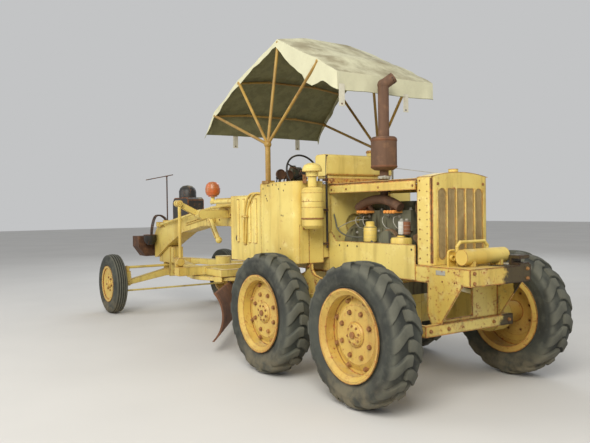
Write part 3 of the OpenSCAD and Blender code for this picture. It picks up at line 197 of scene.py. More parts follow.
def weathered_paint(name, chips=0.5, rust=0.25, grime=0.35, fresh=SUN_YELLOW, worn=SHADE_YELLOW,
                    pale=PALE_YELLOW, edge=0.012, burnt=False):
    """Yellow enamel: chips and rust say how much is gone at edges and on faces, grime how dirty it is."""
    made, shader, place = finish(name)
    facing = place.node("ShaderNodeNewGeometry", out="Normal")
    soft = place.node("ShaderNodeBevel", {"samples": 6}, {"Radius": edge})
    bend = place.node("ShaderNodeVectorMath", {"operation": "DOT_PRODUCT"}, {0: facing, 1: soft}, "Value")
    ridge = (1 - bend).between(0.004, 0.10)
    fine = place.noise(34, 6, 0.65)
    middling = place.noise(7, 5, 0.6)
    broad = place.noise(1.3, 3)
    streaks = place.noise(9, 4, 0.6, (1, 1, 0.12))
    # Broad patches of the worn colour; for the yellow paints that is SHADE_YELLOW, a shaded copy of the
    # yellow, so these patches are painted shade.
    colour = broad.between(0.35, 0.68).over(fresh, worn)
    colour = (middling.between(0.52, 0.78) * 0.7).over(colour, pale)
    colour = (streaks.between(0.50, 0.80) * (0.35 + grime)).over(colour, tint(worn, 0.62))
    # Noise patches of grime, and a darker tone towards the bottom.
    low = place.axis("Z").between(1.5, 0.35)
    patches = (middling * 0.6 + streaks * 0.5).between(0.80 - grime * 0.5, 1.05) * (0.45 + grime)
    colour = (patches + low * 0.22 * grime).over(colour, GRIME)
    pits = fine * 0.75 + middling * 0.35 + rust * 0.16
    specks = pits.between(0.74, 0.80)
    chipped = (ridge * (fine + 0.55 * chips)).between(0.62 - 0.22 * chips, 0.78 - 0.2 * chips)
    gone = specks.sum("MAXIMUM", specks, chipped)
    rusty = place.noise(21, 5).between(0.42, 0.62).over(RUST_BROWN, RUST_ORANGE)
    halo = (pits.between(0.66, 0.78) * 0.5).over(colour, RUST_ORANGE)
    colour = gone.over(halo, rusty)
    top = facing.axis("Z").between(0.55, 0.95) * middling.between(0.35, 0.7) * 0.55
    colour = top.over(colour, DUST)
    if burnt:
        # Right end of the rear beam, and of the bar behind it
        right_end = (place.axis("Y") * -1.0 + middling * 0.30).between(0.17, 0.22)
        black = right_end * (place.axis("X") * -1.0 + fine * 0.04).between(BURNT_BEAM, BURNT_BEAM + 0.01)
        bar_end = (place.axis("Y") * -1.0 + middling * 0.25).between(0.52, 0.56)
        bar_black = bar_end * (place.axis("X") * -1.0).between(BURNT_BAR, BURNT_BAR + 0.01)
        black = black + bar_black * (1 - black)
        colour = (black * 0.92).over(colour, (38, 31, 24))
    rough = gone * 0.35 + top * 0.3 + fine * 0.18 + 0.38
    grain = fine * 0.25 + gone * -0.6 + middling * 0.2
    coat(shader, colour, rough.sum("MINIMUM", rough, 0.95), grain, 0.0012)
    return made


def dress(material, *nodes):
    """Gives the named solids this material, one slot each."""
    for node in nodes:
        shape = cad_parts[node]
        shape.data.materials.clear()
        shape.data.materials.append(material)
        for face in shape.data.polygons:
            face.material_index = 0


panel_paint = weathered_paint("panel_paint", chips=0.45, rust=0.20, grime=0.22)
frame_paint = weathered_paint("frame_paint", chips=0.75, rust=0.42, grime=0.55)
rim_paint = weathered_paint("rim_paint", chips=1.0, rust=0.55, grime=0.30, fresh=(208, 178, 90),
                            worn=(190, 152, 72), pale=(222, 194, 108), edge=0.022)
shell_paint = weathered_paint("shell_paint", chips=0.85, rust=0.34, grime=0.26, edge=0.02)
dress(shell_paint, "radiator_shell", "hood", "engine_sides")
cowl_paint = weathered_paint("cowl_paint", chips=0.8, rust=0.30, grime=0.34, edge=0.016)
dress(cowl_paint, "cowls", "front_panels")
dress(panel_paint, "bulkhead", "fuel_tank", "air_cleaner", "air_tank")
scarred_paint = weathered_paint("scarred_paint", chips=1.05, rust=0.62, grime=0.55, edge=0.03, burnt=True)
dress(scarred_paint, "rear_frame")
dress(frame_paint, "main_frame", "steering_gear", "axle_housing", "tandem_cases", "platform", "lift_housing",
      "centre_shift", "lift_arm_left", "lift_arm_right", "lift_link_left", "lift_link_right", "drawbar",
      "circle", "front_axle", "lean_bracket_left", "lean_bracket_right", "lean_bar", "knuckle_left",
      "knuckle_right", "tie_rod")
dress(rim_paint, "rear_rim_1", "rear_rim_2", "rear_rim_3", "rear_rim_4", "front_rim_left", "front_rim_right")

# Exhaust
# Muffler can, stack and manifold of bare sheet and cast iron, rusted an even red-brown. The can and stack
# are welded, and clamped over the riser where it comes up through the hood. Blade, ball of the tie rod and
# front box are rusted bare as well.


def rusted_iron(name, light, dark, main):
    """Iron with an even coat of rust, with lighter dusty patches and darker pits."""
    made, shader, place = finish(name)
    fine = place.noise(60, 6, 0.7)
    middling = place.noise(9, 5, 0.6)
    streaks = place.noise(12, 3, 0.5, (1, 1, 0.15))
    colour = middling.between(0.48, 0.75).over(main, light)
    colour = (streaks.between(0.45, 0.75) * 0.5).over(colour, dark)
    colour = (fine.between(0.60, 0.72) * 0.7).over(colour, dark)
    coat(shader, colour, fine * 0.2 + 0.72, fine + middling * 0.5, 0.0015)
    return made


heat_rust = rusted_iron("heat_rust", (130, 96, 70), (68, 49, 38), (102, 75, 57))
bare_rust = rusted_iron("bare_rust", (150, 100, 66), (66, 46, 36), (112, 74, 50))
dress(heat_rust, "muffler_stack", "exhaust_manifold")
box_rust = rusted_iron("box_rust", (116, 78, 50), (46, 34, 27), (78, 52, 35))
dress(bare_rust, "moldboard", "tie_ball")
dress(box_rust, "front_box")

# Engine and radiator core
# Cast-iron block and head in a dull grey-green enamel under oil and dust, with a dark finned core of brass
# and steel behind the grille.


def oily_iron(name, main, oil, dust):
    """Cast iron under old enamel, black where oil has run and pale where dust has stuck."""
    made, shader, place = finish(name)
    facing = place.node("ShaderNodeNewGeometry", out="Normal")
    fine = place.noise(70, 5, 0.65)
    middling = place.noise(11, 5, 0.6)
    runs = place.noise(14, 4, 0.55, (1, 1, 0.2))
    colour = runs.between(0.46, 0.66).over(main, oil)
    dusty = facing.axis("Z").between(-0.2, 0.9) * middling.between(0.38, 0.62) * 0.8
    colour = dusty.over(colour, dust)
    colour = (fine.between(0.62, 0.72) * 0.6).over(colour, RUST_BROWN)
    rough = runs.between(0.40, 0.62) * -0.25 + dusty * 0.3 + 0.62
    coat(shader, colour, rough, fine * 0.6 + middling, 0.002)
    return made


engine_iron = oily_iron("engine_iron", (104, 104, 84), (44, 42, 36), (132, 124, 98))
core_iron = oily_iron("core_iron", (120, 104, 76), (60, 52, 40), (150, 134, 98))
dress(engine_iron, "engine")
dress(core_iron, "radiator_core")

# Black fittings
# Seat frame, steering column, levers and console in black paint that has dulled and worn to rust.
black_paint = weathered_paint("black_paint", chips=0.6, rust=0.3, grime=0.15, fresh=(44, 43, 40),
                              worn=(33, 32, 30), pale=(62, 60, 55))
dress(black_paint, "seat_frame", "controls")

# Rear tyres
# Four grey traction tyres, moulded rubber over a carcass and held by their beads in the rims. Each has two
# rows of sixteen worn lugs that start past the middle of the tread, bend back and run down the shoulder.
REAR_HUBS = {"rear_wheel_1": (0.76, 1.010, 0.635), "rear_wheel_2": (-0.76, 1.010, 0.635),
             "rear_wheel_3": (0.76, -1.010, 0.635), "rear_wheel_4": (-0.76, -1.010, 0.635)}
REAR_RADIUS = 0.633
CARCASS = [(0.372, 0.128), (0.414, 0.131), (0.420, 0.138), (0.428, 0.138), (0.434, 0.144), (0.470, 0.156),
           (0.512, 0.163), (0.520, 0.165), (0.528, 0.163), (0.560, 0.158), (0.585, 0.146), (0.598, 0.124),
           (0.604, 0.070), (0.606, 0.0)]
LUG_PATH = [(-0.026, -0.004, 0.070, -0.022), (-0.016, 0.0, 0.098, 0.0), (0.030, 0.004, 0.104, 0.0),
            (0.062, 0.026, 0.112, -0.001), (0.094, 0.056, 0.122, -0.005), (0.126, 0.088, 0.132, -0.014),
            (0.148, 0.110, 0.138, -0.030), (0.159, 0.122, 0.138, -0.058), (0.161, 0.130, 0.128, -0.088)]
LUGS = 16
UP, LEFT, BACK = (0, 0, 1), (0, 1, 0), (-1, 0, 0)
PINHOLE = 0.0005
SHARP_ANGLE = math.radians(38)


def ring_of(mesh, loops, closed=False):
    """Skins a list of loops of vertices, one to the next."""
    pairs = list(zip(loops, loops[1:])) + ([(loops[-1], loops[0])] if closed else [])
    for first, second in pairs:
        for i in range(len(first)):
            j = (i + 1) % len(first)
            mesh.faces.new((first[i], first[j], second[j], second[i]))


def hoop(mesh, middle, side, third, radius, steps):
    """A loop of vertices round a middle, in the plane of two directions."""
    angles = [2 * math.pi * k / steps for k in range(steps)]
    return [mesh.verts.new(middle + (side * math.cos(a) + third * math.sin(a)) * radius) for a in angles]


def turned(mesh, outline, foot, up, steps=32, closed=False):
    """Turns an outline of (radius, height) about a line through foot along up, with a pinhole at radius 0."""
    up = Vector(up).normalized()
    side = up.orthogonal().normalized()
    third = up.cross(side)
    ring_of(mesh, [hoop(mesh, Vector(foot) + up * height, side, third, max(radius, PINHOLE), steps)
                   for radius, height in outline], closed)


def piece(name, mesh, material, body="chassis", smooth=True, stands_for=(), shift=TANDEM_X):
    """Moves a mesh to its place in the frame and makes it one piece that rides on its body."""
    bmesh.ops.translate(mesh, vec=(shift, 0, 0), verts=mesh.verts)
    bmesh.ops.remove_doubles(mesh, verts=mesh.verts, dist=1e-6)
    bmesh.ops.recalc_face_normals(mesh, faces=mesh.faces)
    shape = bpy.data.meshes.new(name)
    mesh.to_mesh(shape)
    mesh.free()
    made = bpy.data.objects.new(name, shape)
    bpy.context.collection.objects.link(made)
    shape.materials.append(material)
    if smooth:
        shape.shade_smooth()
        shape.set_sharp_from_angle(angle=SHARP_ANGLE)
    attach(made, body)
    if stands_for:
        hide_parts(*stands_for)
    return made


RUBBER_GREY = (66, 69, 62)
RUBBER_DARK = (44, 46, 42)
RUBBER_DUST = (88, 89, 78)


def old_rubber(name):
    """Greyed rubber with a painted highlight along convex edges, painted shade in the hollows, and dust near
    the ground.
    """
    made, shader, place = finish(name)
    edge_highlight_and_hollow_shade = place.node("ShaderNodeNewGeometry", out="Pointiness")
    fine = place.noise(90, 5, 0.6)
    middling = place.noise(8, 5, 0.6)
    broad = place.noise(2.4, 3)
    colour = broad.between(0.35, 0.65).over(RUBBER_DARK, RUBBER_GREY)
    colour = (middling.between(0.46, 0.72) * 0.6).over(colour, RUBBER_DUST)
    # Painted highlight along convex edges.
    colour = (edge_highlight_and_hollow_shade.between(0.515, 0.56) * 0.55).over(colour, (112, 111, 97))
    # Painted shade in the hollows.
    colour = (edge_highlight_and_hollow_shade.between(0.485, 0.44) * 0.7).over(colour, (30, 30, 27))
    low = place.axis("Z").between(0.40, 0.02) * middling.between(0.30, 0.60) * 0.6
    colour = low.over(colour, (128, 116, 90))
    coat(shader, colour, fine * 0.2 + 0.72, fine * 0.5 + middling * 0.8, 0.0015)
    return made


tyre_rubber = old_rubber("tyre_rubber")
wobble = random.Random(11)
for wheel, middle in REAR_HUBS.items():
    mesh = bmesh.new()
    hub = Vector(middle)
    wall = CARCASS + [(r, -a) for r, a in reversed(CARCASS[:-1])]
    turned(mesh, wall, hub, LEFT, 96, True)
    for row in (-1, 1):
        for lug in range(LUGS):
            start_angle = 2 * math.pi * (lug + (0.5 if row > 0 else 0.0)) / LUGS
            worn = wobble.uniform(-0.003, 0.001)
            loops = []
            for out, back, wide, drop in LUG_PATH:
                top = REAR_RADIUS + drop + worn
                base = min(0.600, top - 0.012)
                loop = []
                for across_lug, radius in ((-0.55, base), (-0.50, top - 0.012), (-0.44, top - 0.003),
                                           (-0.36, top), (0.36, top), (0.44, top - 0.003),
                                           (0.50, top - 0.012), (0.55, base)):
                    angle = start_angle + (back + across_lug * wide) / REAR_RADIUS
                    # Counted from straight behind, downward, so that the chevrons point up at the back
                    loop.append(mesh.verts.new(hub + Vector((-math.cos(angle) * radius, row * out,
                                                             -math.sin(angle) * radius))))
                loops.append(loop)
            for first, second in zip(loops, loops[1:]):
                for i in range(7):
                    mesh.faces.new((first[i], first[i + 1], second[i + 1], second[i]))
            mesh.faces.new(loops[0])
            mesh.faces.new(loops[-1])
    piece("tyre_" + wheel, mesh, tyre_rubber, wheel, stands_for=("rear_tyre_" + wheel[-1],))

# Front tyres
# Two narrower tyres with four plain ribs round the tread and a bulged wall, of the same greyed rubber.
FRONT_HUBS = {"front_wheel_left": (5.800, 1.070, 0.500), "front_wheel_right": (5.800, -1.070, 0.500)}
RIBBED = [(0.277, 0.083), (0.311, 0.086), (0.318, 0.092), (0.345, 0.106), (0.385, 0.117), (0.392, 0.119),
          (0.399, 0.117), (0.430, 0.112), (0.462, 0.098), (0.484, 0.086), (0.488, 0.080), (0.490, 0.062),
          (0.478, 0.058), (0.478, 0.050), (0.495, 0.046), (0.498, 0.028), (0.484, 0.024), (0.484, 0.014),
          (0.499, 0.010), (0.500, 0.0)]
for wheel, middle in FRONT_HUBS.items():
    mesh = bmesh.new()
    turned(mesh, RIBBED + [(r, -a) for r, a in reversed(RIBBED[:-1])], middle, LEFT, 112, True)
    piece("tyre_" + wheel, mesh, tyre_rubber, wheel, stands_for=("front_tyre" + wheel[11:],))

# Wheel bolts
# Rusted steel nuts and clamps that hold the rims: eight wedges near the gutter, eight nuts on the raised
# disc and a ring of small bolts round the hub cap. The front wheels have six nuts and a capped hub.
nut_rust = rusted_iron("nut_rust", (190, 146, 82), (84, 58, 38), (142, 98, 56))


def bolt(mesh, foot, up, wide, tall, turn=0.0):
    """A hexagonal head on a washer, wide across its corners."""
    up = Vector(up).normalized()
    washer = wide * 0.62
    turned(mesh, [(0, 0), (washer, 0), (washer, tall * 0.18), (wide * 0.5, tall * 0.2)], foot, up, 14)
    side = Matrix.Rotation(turn, 3, up) @ up.orthogonal().normalized()
    loops = [hoop(mesh, Vector(foot) + up * tall * height, side, up.cross(side), radius * wide, 6)
             for radius, height in ((0.5, 0.15), (0.5, 0.88), (0.42, 1.0))]
    ring_of(mesh, loops)
    mesh.faces.new(loops[-1])


def bolt_pair(mesh, place, wide, tall, turn=0.0):
    """A bolt on either side of the machine, facing outward."""
    x, y, z = place
    for side in (1, -1):
        bolt(mesh, (x, side * y, z), (0, side, 0), wide, tall, turn)


def slab(mesh, low, high, edge=0.0015):
    """A block between two corners with its edges broken."""
    low, high = Vector(low), Vector(high)
    made = bmesh.ops.create_cube(mesh, size=1.0)["verts"]
    bmesh.ops.scale(mesh, vec=high - low, verts=made)
    bmesh.ops.translate(mesh, vec=(low + high) / 2, verts=made)
    edges = {e for v in made for e in v.link_edges}
    bmesh.ops.bevel(mesh, geom=list(edges), offset=edge, segments=1, affect="EDGES")


def spoke(angle):
    """The way from a wheel's middle at this angle, counted from straight ahead, upward."""
    return Vector((math.cos(angle), 0, math.sin(angle)))


for wheel, middle in REAR_HUBS.items():
    mesh = bmesh.new()
    hub = Vector(middle)
    out = Vector((0, math.copysign(1, hub.y), 0))
    twist = wobble.uniform(0, 6.28)
    for k in range(8):
        angle = math.pi * (k + 0.5) / 4
        arm = spoke(angle)
        bolt(mesh, hub + arm * 0.200 + out * 0.0622, out, 0.040, 0.022, angle)
        clamp = hub + arm * 0.300 + out * 0.0375
        turned(mesh, [(0, 0), (0.026, 0.0), (0.024, 0.012), (0, 0.014)], clamp, out, 10)
        bolt(mesh, clamp + out * 0.012, out, 0.034, 0.020, angle + 0.4)
    for k in range(8):
        angle = math.pi * k / 4 + twist
        bolt(mesh, hub + spoke(angle) * 0.076 + out * 0.0915, out, 0.020, 0.010, angle)
    turned(mesh, [(0.030, 0.0955), (0.030, 0.108), (0.024, 0.114), (0, 0.116)], hub, out, 20)
    piece("bolts_" + wheel, mesh, nut_rust, wheel)
for wheel, middle in FRONT_HUBS.items():
    mesh = bmesh.new()
    hub = Vector(middle)
    out = Vector((0, math.copysign(1, hub.y), 0))
    for k in range(6):
        angle = math.pi * k / 3 + 0.2
        bolt(mesh, hub + spoke(angle) * 0.112 + out * 0.058, out, 0.030, 0.018, angle)
    turned(mesh, [(0.020, 0.1035), (0.018, 0.114), (0, 0.116)], hub, out, 16)
    piece("bolts_" + wheel, mesh, nut_rust, wheel)

# Grille mesh
# Five strips of tan wire mesh behind the slots of the radiator shell, rusted, on a thin sheet of packed dust.
GRILLE_X = -0.9855
SLOTS = [-0.244, -0.122, 0.0, 0.122, 0.244]
SLOT_LOW, SLOT_TOP, SLOT_HALF = 1.255, 1.890, 0.0455
WIRE_PITCH = 0.0105
WIRE_RADIUS = 0.0022
mesh_wire = rusted_iron("mesh_wire", (224, 206, 156), (140, 112, 76), (206, 184, 134))


def rod(mesh, path, radius, steps=8, caps=True):
    """A round rod or tube of one radius along a path of points."""
    path = [Vector(p) for p in path]
    loops = []
    side = None
    for i, point in enumerate(path):
        run = (path[min(i + 1, len(path) - 1)] - path[max(i - 1, 0)]).normalized()
        side = run.orthogonal().normalized() if side is None else (side - run * side.dot(run)).normalized()
        loops.append(hoop(mesh, point, side, run.cross(side), radius, steps))
    ring_of(mesh, loops)
    if caps:
        mesh.faces.new(loops[0])
        mesh.faces.new(loops[-1])


def arc(points, steps=8):
    """A smooth path through a few points, by a Catmull-Rom curve."""
    points = [Vector(p) for p in points]
    ends = [points[0] * 2 - points[1]] + points + [points[-1] * 2 - points[-2]]
    path = []
    for a, b, c, d in zip(ends, ends[1:], ends[2:], ends[3:]):
        for k in range(steps):
            t = k / steps
            path.append(0.5 * (2 * b + (c - a) * t + (2 * a - 5 * b + 4 * c - d) * t * t
                               + (3 * b - a - 3 * c + d) * t ** 3))
    return path + [points[-1]]


mesh = bmesh.new()
mesh_low, mesh_top = SLOT_LOW - 0.01, SLOT_TOP + 0.01
for middle in SLOTS:
    near, far = middle - SLOT_HALF, middle + SLOT_HALF
    for k in range(int((mesh_top - mesh_low) / WIRE_PITCH) + 1):
        z = mesh_low + k * WIRE_PITCH
        rod(mesh, [(GRILLE_X, near, z), (GRILLE_X, far, z)], WIRE_RADIUS, 3)
    for k in range(int(2 * SLOT_HALF / WIRE_PITCH) + 1):
        y = near + k * WIRE_PITCH
        rod(mesh, [(GRILLE_X + 0.003, y, mesh_low), (GRILLE_X + 0.003, y, mesh_top)], WIRE_RADIUS, 3)
piece("grille_mesh", mesh, mesh_wire, smooth=False)
mesh = bmesh.new()
for middle in SLOTS:
    slab(mesh, (GRILLE_X + 0.0055, middle - SLOT_HALF, mesh_low),
         (GRILLE_X + 0.0065, middle + SLOT_HALF, mesh_top), 0.0002)
grille_dust = rusted_iron("grille_dust", (156, 130, 92), (84, 66, 46), (124, 100, 70))
piece("grille_backing", mesh, grille_dust, smooth=False)

# Engine fittings
# What is bolted to the engine where the side is open: clamps and studs of the exhaust ports, rusted orange by
# heat, bands of the filters, two fan belts, cables, thin fuel pipes with their unions, and rows of bolts.
PORT_GROUPS = [(-0.400, -0.240), (0.020, 0.180)]
FAN_Z = 1.560
CRANK_Z = 1.220
BELT_RADIUS = 0.064
FILTERS_X = {"bright_filter": -0.490, "rusted_filter": -0.560}
FILTERS_Y = 0.270
OIL_FILTER = (-0.030, 0.276)
port_rust = rusted_iron("port_rust", (240, 184, 104), (150, 84, 40), (226, 150, 70))
pale_steel = rusted_iron("pale_steel", (196, 194, 184), (120, 112, 96), (164, 162, 152))
mesh = bmesh.new()
for low, high in PORT_GROUPS:
    slab(mesh, (low, 0.171, 1.672), (high, 0.268, 1.698), 0.004)
    for k in range(4):
        x = low + 0.018 + k * (high - low - 0.036) / 3
        turned(mesh, [(0, 0), (0.017, 0.002), (0.019, 0.016), (0.014, 0.026), (0, 0.030)],
               (x, 0.262, 1.684), LEFT, 12)
piece("port_clamps", mesh, port_rust)

mesh = bmesh.new()
rod(mesh, arc([(0.482, 0.350, 1.665), (0.44, 0.36, 1.60), (0.40, 0.365, 1.512),
               (0.30, 0.36, 1.452), (0.17, 0.345, 1.428), (0.07, 0.30, 1.424),
               (0.03, 0.26, 1.43)]), 0.0085)
rod(mesh, arc([(-0.05, 0.30, 1.40), (-0.16, 0.325, 1.372), (-0.34, 0.33, 1.362),
               (-0.42, 0.30, 1.366)]), 0.010)
for x in (-0.592, -0.607):
    # Fan belts from the fan shaft down to the pulley of the crankshaft
    loop = []
    for k in range(33):
        a = math.pi * k / 16
        middle = FAN_Z if math.cos(a) >= 0 else CRANK_Z
        loop.append((x, BELT_RADIUS * math.sin(a), middle + BELT_RADIUS * math.cos(a)))
    rod(mesh, loop, 0.007, 6, False)
turned(mesh, [(0, 0), (0.062, 0.0), (0.066, 0.008), (0.058, 0.016), (0.058, 0.034), (0.066, 0.042),
              (0, 0.046)], (-0.569, 0, CRANK_Z), BACK, 32)
black_rubber = old_rubber("black_rubber")
piece("cables_and_belts", mesh, black_rubber)

mesh = bmesh.new()
for x, lift in ((0.22, 0.0), (0.10, 0.006), (-0.20, 0.003), (-0.36, 0.0)):
    rod(mesh, arc([(x, 0.174, 1.640), (x - 0.01, 0.255, 1.632 + lift), (x - 0.03, 0.285, 1.585),
                   (x - 0.05, 0.262, 1.532), (x - 0.06, 0.214, 1.512)]), 0.0036, 6)
    bolt(mesh, (x, 0.1705, 1.640), LEFT, 0.026, 0.016)
rod(mesh, arc([(0.482, 0.30, 1.512), (0.455, 0.30, 1.520), (0.36, 0.30, 1.556),
               (0.24, 0.285, 1.592), (0.15, 0.240, 1.604), (0.12, 0.174, 1.606)]), 0.0045, 6)
for x in FILTERS_X.values():
    for z in (1.484, 1.520, 1.556, 1.590):
        turned(mesh, [(0.0332, -0.003), (0.0352, 0.0), (0.0332, 0.003)], (x, FILTERS_Y, z), UP, 24)
    bolt(mesh, (x, FILTERS_Y, 1.600), UP, 0.030, 0.018)
for z in (1.412, 1.450, 1.500):
    turned(mesh, [(0.0662, -0.0025), (0.0682, 0.0), (0.0662, 0.0025)], (*OIL_FILTER, z), UP, 32)
for k in range(7):
    bolt(mesh, (-0.44 + k * 0.115, 0.214, 1.470 + 0.02 * (k % 2)), LEFT, 0.024, 0.012, k)
for k in range(6):
    bolt(mesh, (-0.46 + k * 0.14, 0.12, 1.7005), UP, 0.030, 0.022, k)
for x in (-0.26, -0.04, 0.02, 0.24):
    for z in (1.145, 1.305):
        bolt(mesh, (x, 0.2325, z), LEFT, 0.022, 0.012, x)
piece("pipes_and_unions", mesh, pale_steel)

filter_paint = weathered_paint("filter_paint", chips=0.2, rust=0.1, grime=0.2, fresh=(228, 200, 104),
                               worn=(206, 172, 76), pale=(240, 222, 140), edge=0.006)
mesh = bmesh.new()
turned(mesh, [(0, 1.3846), (0.0662, 1.3848), (0.0675, 1.392), (0.0675, 1.522), (0.060, 1.5395),
              (0.046, 1.5402), (0.0448, 1.544), (0.0448, 1.580), (0.036, 1.5885), (0, 1.5890)],
       (*OIL_FILTER, 0), UP, 40)
piece("oil_filter", mesh, filter_paint)

# Bolts and small holes of the sheet metal
# Hexagon bolts that hold hood, shell, side panels and frame, rusted, and the bolt holes that are left open in
# cowls, side panels and front panels, each a dark disc of painted shade with rust flecks on the sheet.
HOOD_BOLTS = [(x, 0.4005, 1.925) for x in (-0.775, -0.30, 0.20, 0.452)]
SHELL_BOLTS = [(-0.845, 0.3805, 1.262 + 0.088 * k) for k in range(9)]
SHELL_BOLTS += [(-0.935, 0.3765, 1.236 + 0.063 * k) for k in range(12)]
COWL_SIDE = 0.838
FRAME_BOLTS = [(x, 0.4005, z) for x in (-1.27, -1.13) for z in (1.075, 1.165)]
OPEN_HOLES = [(1.148, 1.957), (0.944, 1.993), (0.822, 1.945), (0.722, 1.925), (1.05, 1.988), (0.870, 1.990),
              (0.690, 1.988), (1.10, 1.880), (1.075, 1.845), (1.060, 1.822), (1.02, 1.985), (0.80, 1.30),
              (0.66, 1.19), (0.775, 1.66), (0.74, 1.655)]
hole_shade_and_rust = weathered_paint("hole_shade_and_rust", chips=0.3, rust=0.5, grime=0.3, fresh=(26, 21, 17),
                             worn=(18, 15, 12), pale=(70, 44, 30))
mesh = bmesh.new()
for place in HOOD_BOLTS + SHELL_BOLTS + FRAME_BOLTS:
    bolt_pair(mesh, place, 0.013 if place[0] < -0.8 else 0.020, 0.007, place[0] * 9)
for y in (-0.300, 0.300):
    bolt(mesh, (-0.9905, y, 1.935), BACK, 0.022, 0.012)
for y in (-0.35, 0.35):
    for z in (1.08, 1.165):
        bolt(mesh, (-1.4405, y, z), BACK, 0.028, 0.016, z)
for y in (-0.52, -0.30, 0.30, 0.52):
    bolt(mesh, (-1.1055, y, 0.65), BACK, 0.030, 0.018, y)
for x in (0.30, 0.40):
    bolt_pair(mesh, (x, 0.4105, 1.43), 0.018, 0.010, x)
for k in range(6):
    bolt_pair(mesh, (2.35 + 0.42 * k, 0.1355, 1.585 + 0.02 * math.sin(k * 1.1)), 0.022, 0.012, k)
for k in range(4):
    bolt_pair(mesh, (3.165 + 0.118 * k, 0.1755, 1.655), 0.030, 0.018, k)
piece("panel_bolts", mesh, nut_rust)
mesh = bmesh.new()
holes = [((x, COWL_SIDE, z), 0.0085, 0.0095, 0.0010, 14) for x, z in OPEN_HOLES]
holes += [((x, 0.4103, 1.338), 0.010, 0.011, 0.0010, 14) for x in (0.311, 0.176, -0.764, 0.02)]
holes += [((1.805, 0.818, 1.385), 0.034, 0.036, 0.0012, 24)]
for (x, y, z), inner, outer, proud, steps in holes:
    for side in (1, -1):
        turned(mesh, [(0, proud), (inner, proud), (outer, 0.0004)], (x, side * y, z), (0, side, 0), steps)
piece("open_bolt_holes", mesh, hole_shade_and_rust, smooth=False)

# Cowl trim
# A doubled sheet on the cowl's rear wall with a folded lip down its seam, a rolled edge round the top of
# each cowl and fluted panel, and the two bent pipes that run down the left panel under a clip.
CORNER = 0.064
mesh = bmesh.new()
for side in (1, -1):
    edge = [(0.506, side * 0.485, 2.012), (0.506, side * 0.760, 2.012)]
    for a in (math.pi / 12 * k for k in range(7)):
        edge.append((0.570 - CORNER * math.cos(a), side * (0.768 + CORNER * math.sin(a)), 2.012))
    rod(mesh, edge + [(1.196, side * 0.832, 2.012)], 0.0085)
    rod(mesh, [(1.205, side * 0.812, 1.887), (1.955, side * 0.812, 1.887)], 0.0085)
    rod(mesh, [(0.4985, side * 0.668, 1.155), (0.4985, side * 0.668, 1.62)], 0.0045, 6)
    low, high = sorted((side * 0.668, side * 0.792))
    slab(mesh, (0.4965, low, 1.152), (0.5000, high, 1.560), 0.001)
    seam = side * COWL_SIDE
    slab(mesh, (1.192, seam - 0.004, 1.155), (1.208, seam + 0.003, 2.005), 0.001)
piece("cowl_lips", mesh, panel_paint)
mesh = bmesh.new()
for shift in (0.0, 0.085):
    rod(mesh, arc([(1.196, 0.772, 1.885), (1.340 - shift, 0.790, 1.905),
                   (1.420 - shift, 0.826, 1.912), (1.505 - shift, 0.838, 1.862),
                   (1.560 - shift * 0.8, 0.842, 1.745), (1.590 - shift * 0.7, 0.842, 1.60),
                   (1.600 - shift * 0.6, 0.840, 1.45), (1.610 - shift * 0.4, 0.832, 1.335)], 7),
        0.0125, 10)
slab(mesh, (1.475, 0.845, 1.636), (1.612, 0.862, 1.656), 0.003)
for x in (1.485, 1.600):
    bolt(mesh, (x, 0.860, 1.646), LEFT, 0.020, 0.010, x)
for x in (1.585, 1.610):
    bolt(mesh, (x, 0.819, 1.325), LEFT, 0.030, 0.016, x)
pipe_paint = weathered_paint("pipe_paint", chips=0.7, rust=0.3, grime=0.4, fresh=(206, 174, 84), edge=0.005)
piece("panel_pipes", mesh, pipe_paint)

# Air cleaner clamp
# A steel band round the oil cup with a long screw and lugs at the front, and a small bracket beside the neck.
CLEANER = (0.376, 0.706)
CLAMP = (0.497, 0.734)
mesh = bmesh.new()
turned(mesh, [(0.1165, 1.620), (0.1185, 1.622), (0.1185, 1.630), (0.1165, 1.632)], (*CLEANER, 0), UP,
       48, True)
slab(mesh, (0.486, 0.700, 1.610), (0.512, 0.712, 1.640), 0.002)
rod(mesh, [(*CLAMP, 1.636), (*CLAMP, 1.524)], 0.0045)
turned(mesh, [(0, 0), (0.013, 0.003), (0.013, 0.018), (0, 0.022)], (*CLAMP, 1.508), UP, 10)
bolt(mesh, (CLEANER[0], 0.8205, 1.803), LEFT, 0.014, 0.008)
slab(mesh, (0.430, 0.735, 1.992), (0.500, 0.742, 2.085), 0.002)
bolt(mesh, (0.470, 0.7425, 2.055), LEFT, 0.022, 0.010)
piece("cleaner_clamp", mesh, nut_rust)

# Exhaust clamp and outlet
# A bright band clamp round the neck at the hood, and a ring of small holes at the cut end of the outlet, each
# a dark disc of painted shade.
STACK = (-0.110, 0.150)
mesh = bmesh.new()
turned(mesh, [(0.0595, 2.018), (0.064, 2.020), (0.064, 2.046), (0.0595, 2.048)], (*STACK, 0), UP, 40,
       True)
slab(mesh, (-0.185, 0.186, 2.016), (-0.150, 0.206, 2.050), 0.003)
bolt(mesh, (-0.166, 0.206, 2.033), LEFT, 0.018, 0.026)
rod(mesh, [(-0.116, 0.213, 2.024), (-0.104, 0.213, 2.044)], 0.007, 6)
piece("exhaust_clamp", mesh, pale_steel)
mesh = bmesh.new()
tilt = Matrix.Rotation(math.radians(-125), 3, "Z") @ Matrix.Rotation(math.radians(55), 3, "Y")
top = Vector((*STACK, 2.975))
along = (tilt @ Vector((0, 0, 1))).normalized()
side = along.orthogonal().normalized()
third = along.cross(side)
for k in range(12):
    arm = side * math.cos(math.pi * k / 6) + third * math.sin(math.pi * k / 6)
    foot = top + along * 0.104 + arm * 0.0562
    turned(mesh, [(0, 0.0008), (0.0075, 0.0008), (0.0085, 0)], foot, arm, 10)
piece("outlet_holes", mesh, hole_shade_and_rust, smooth=False)

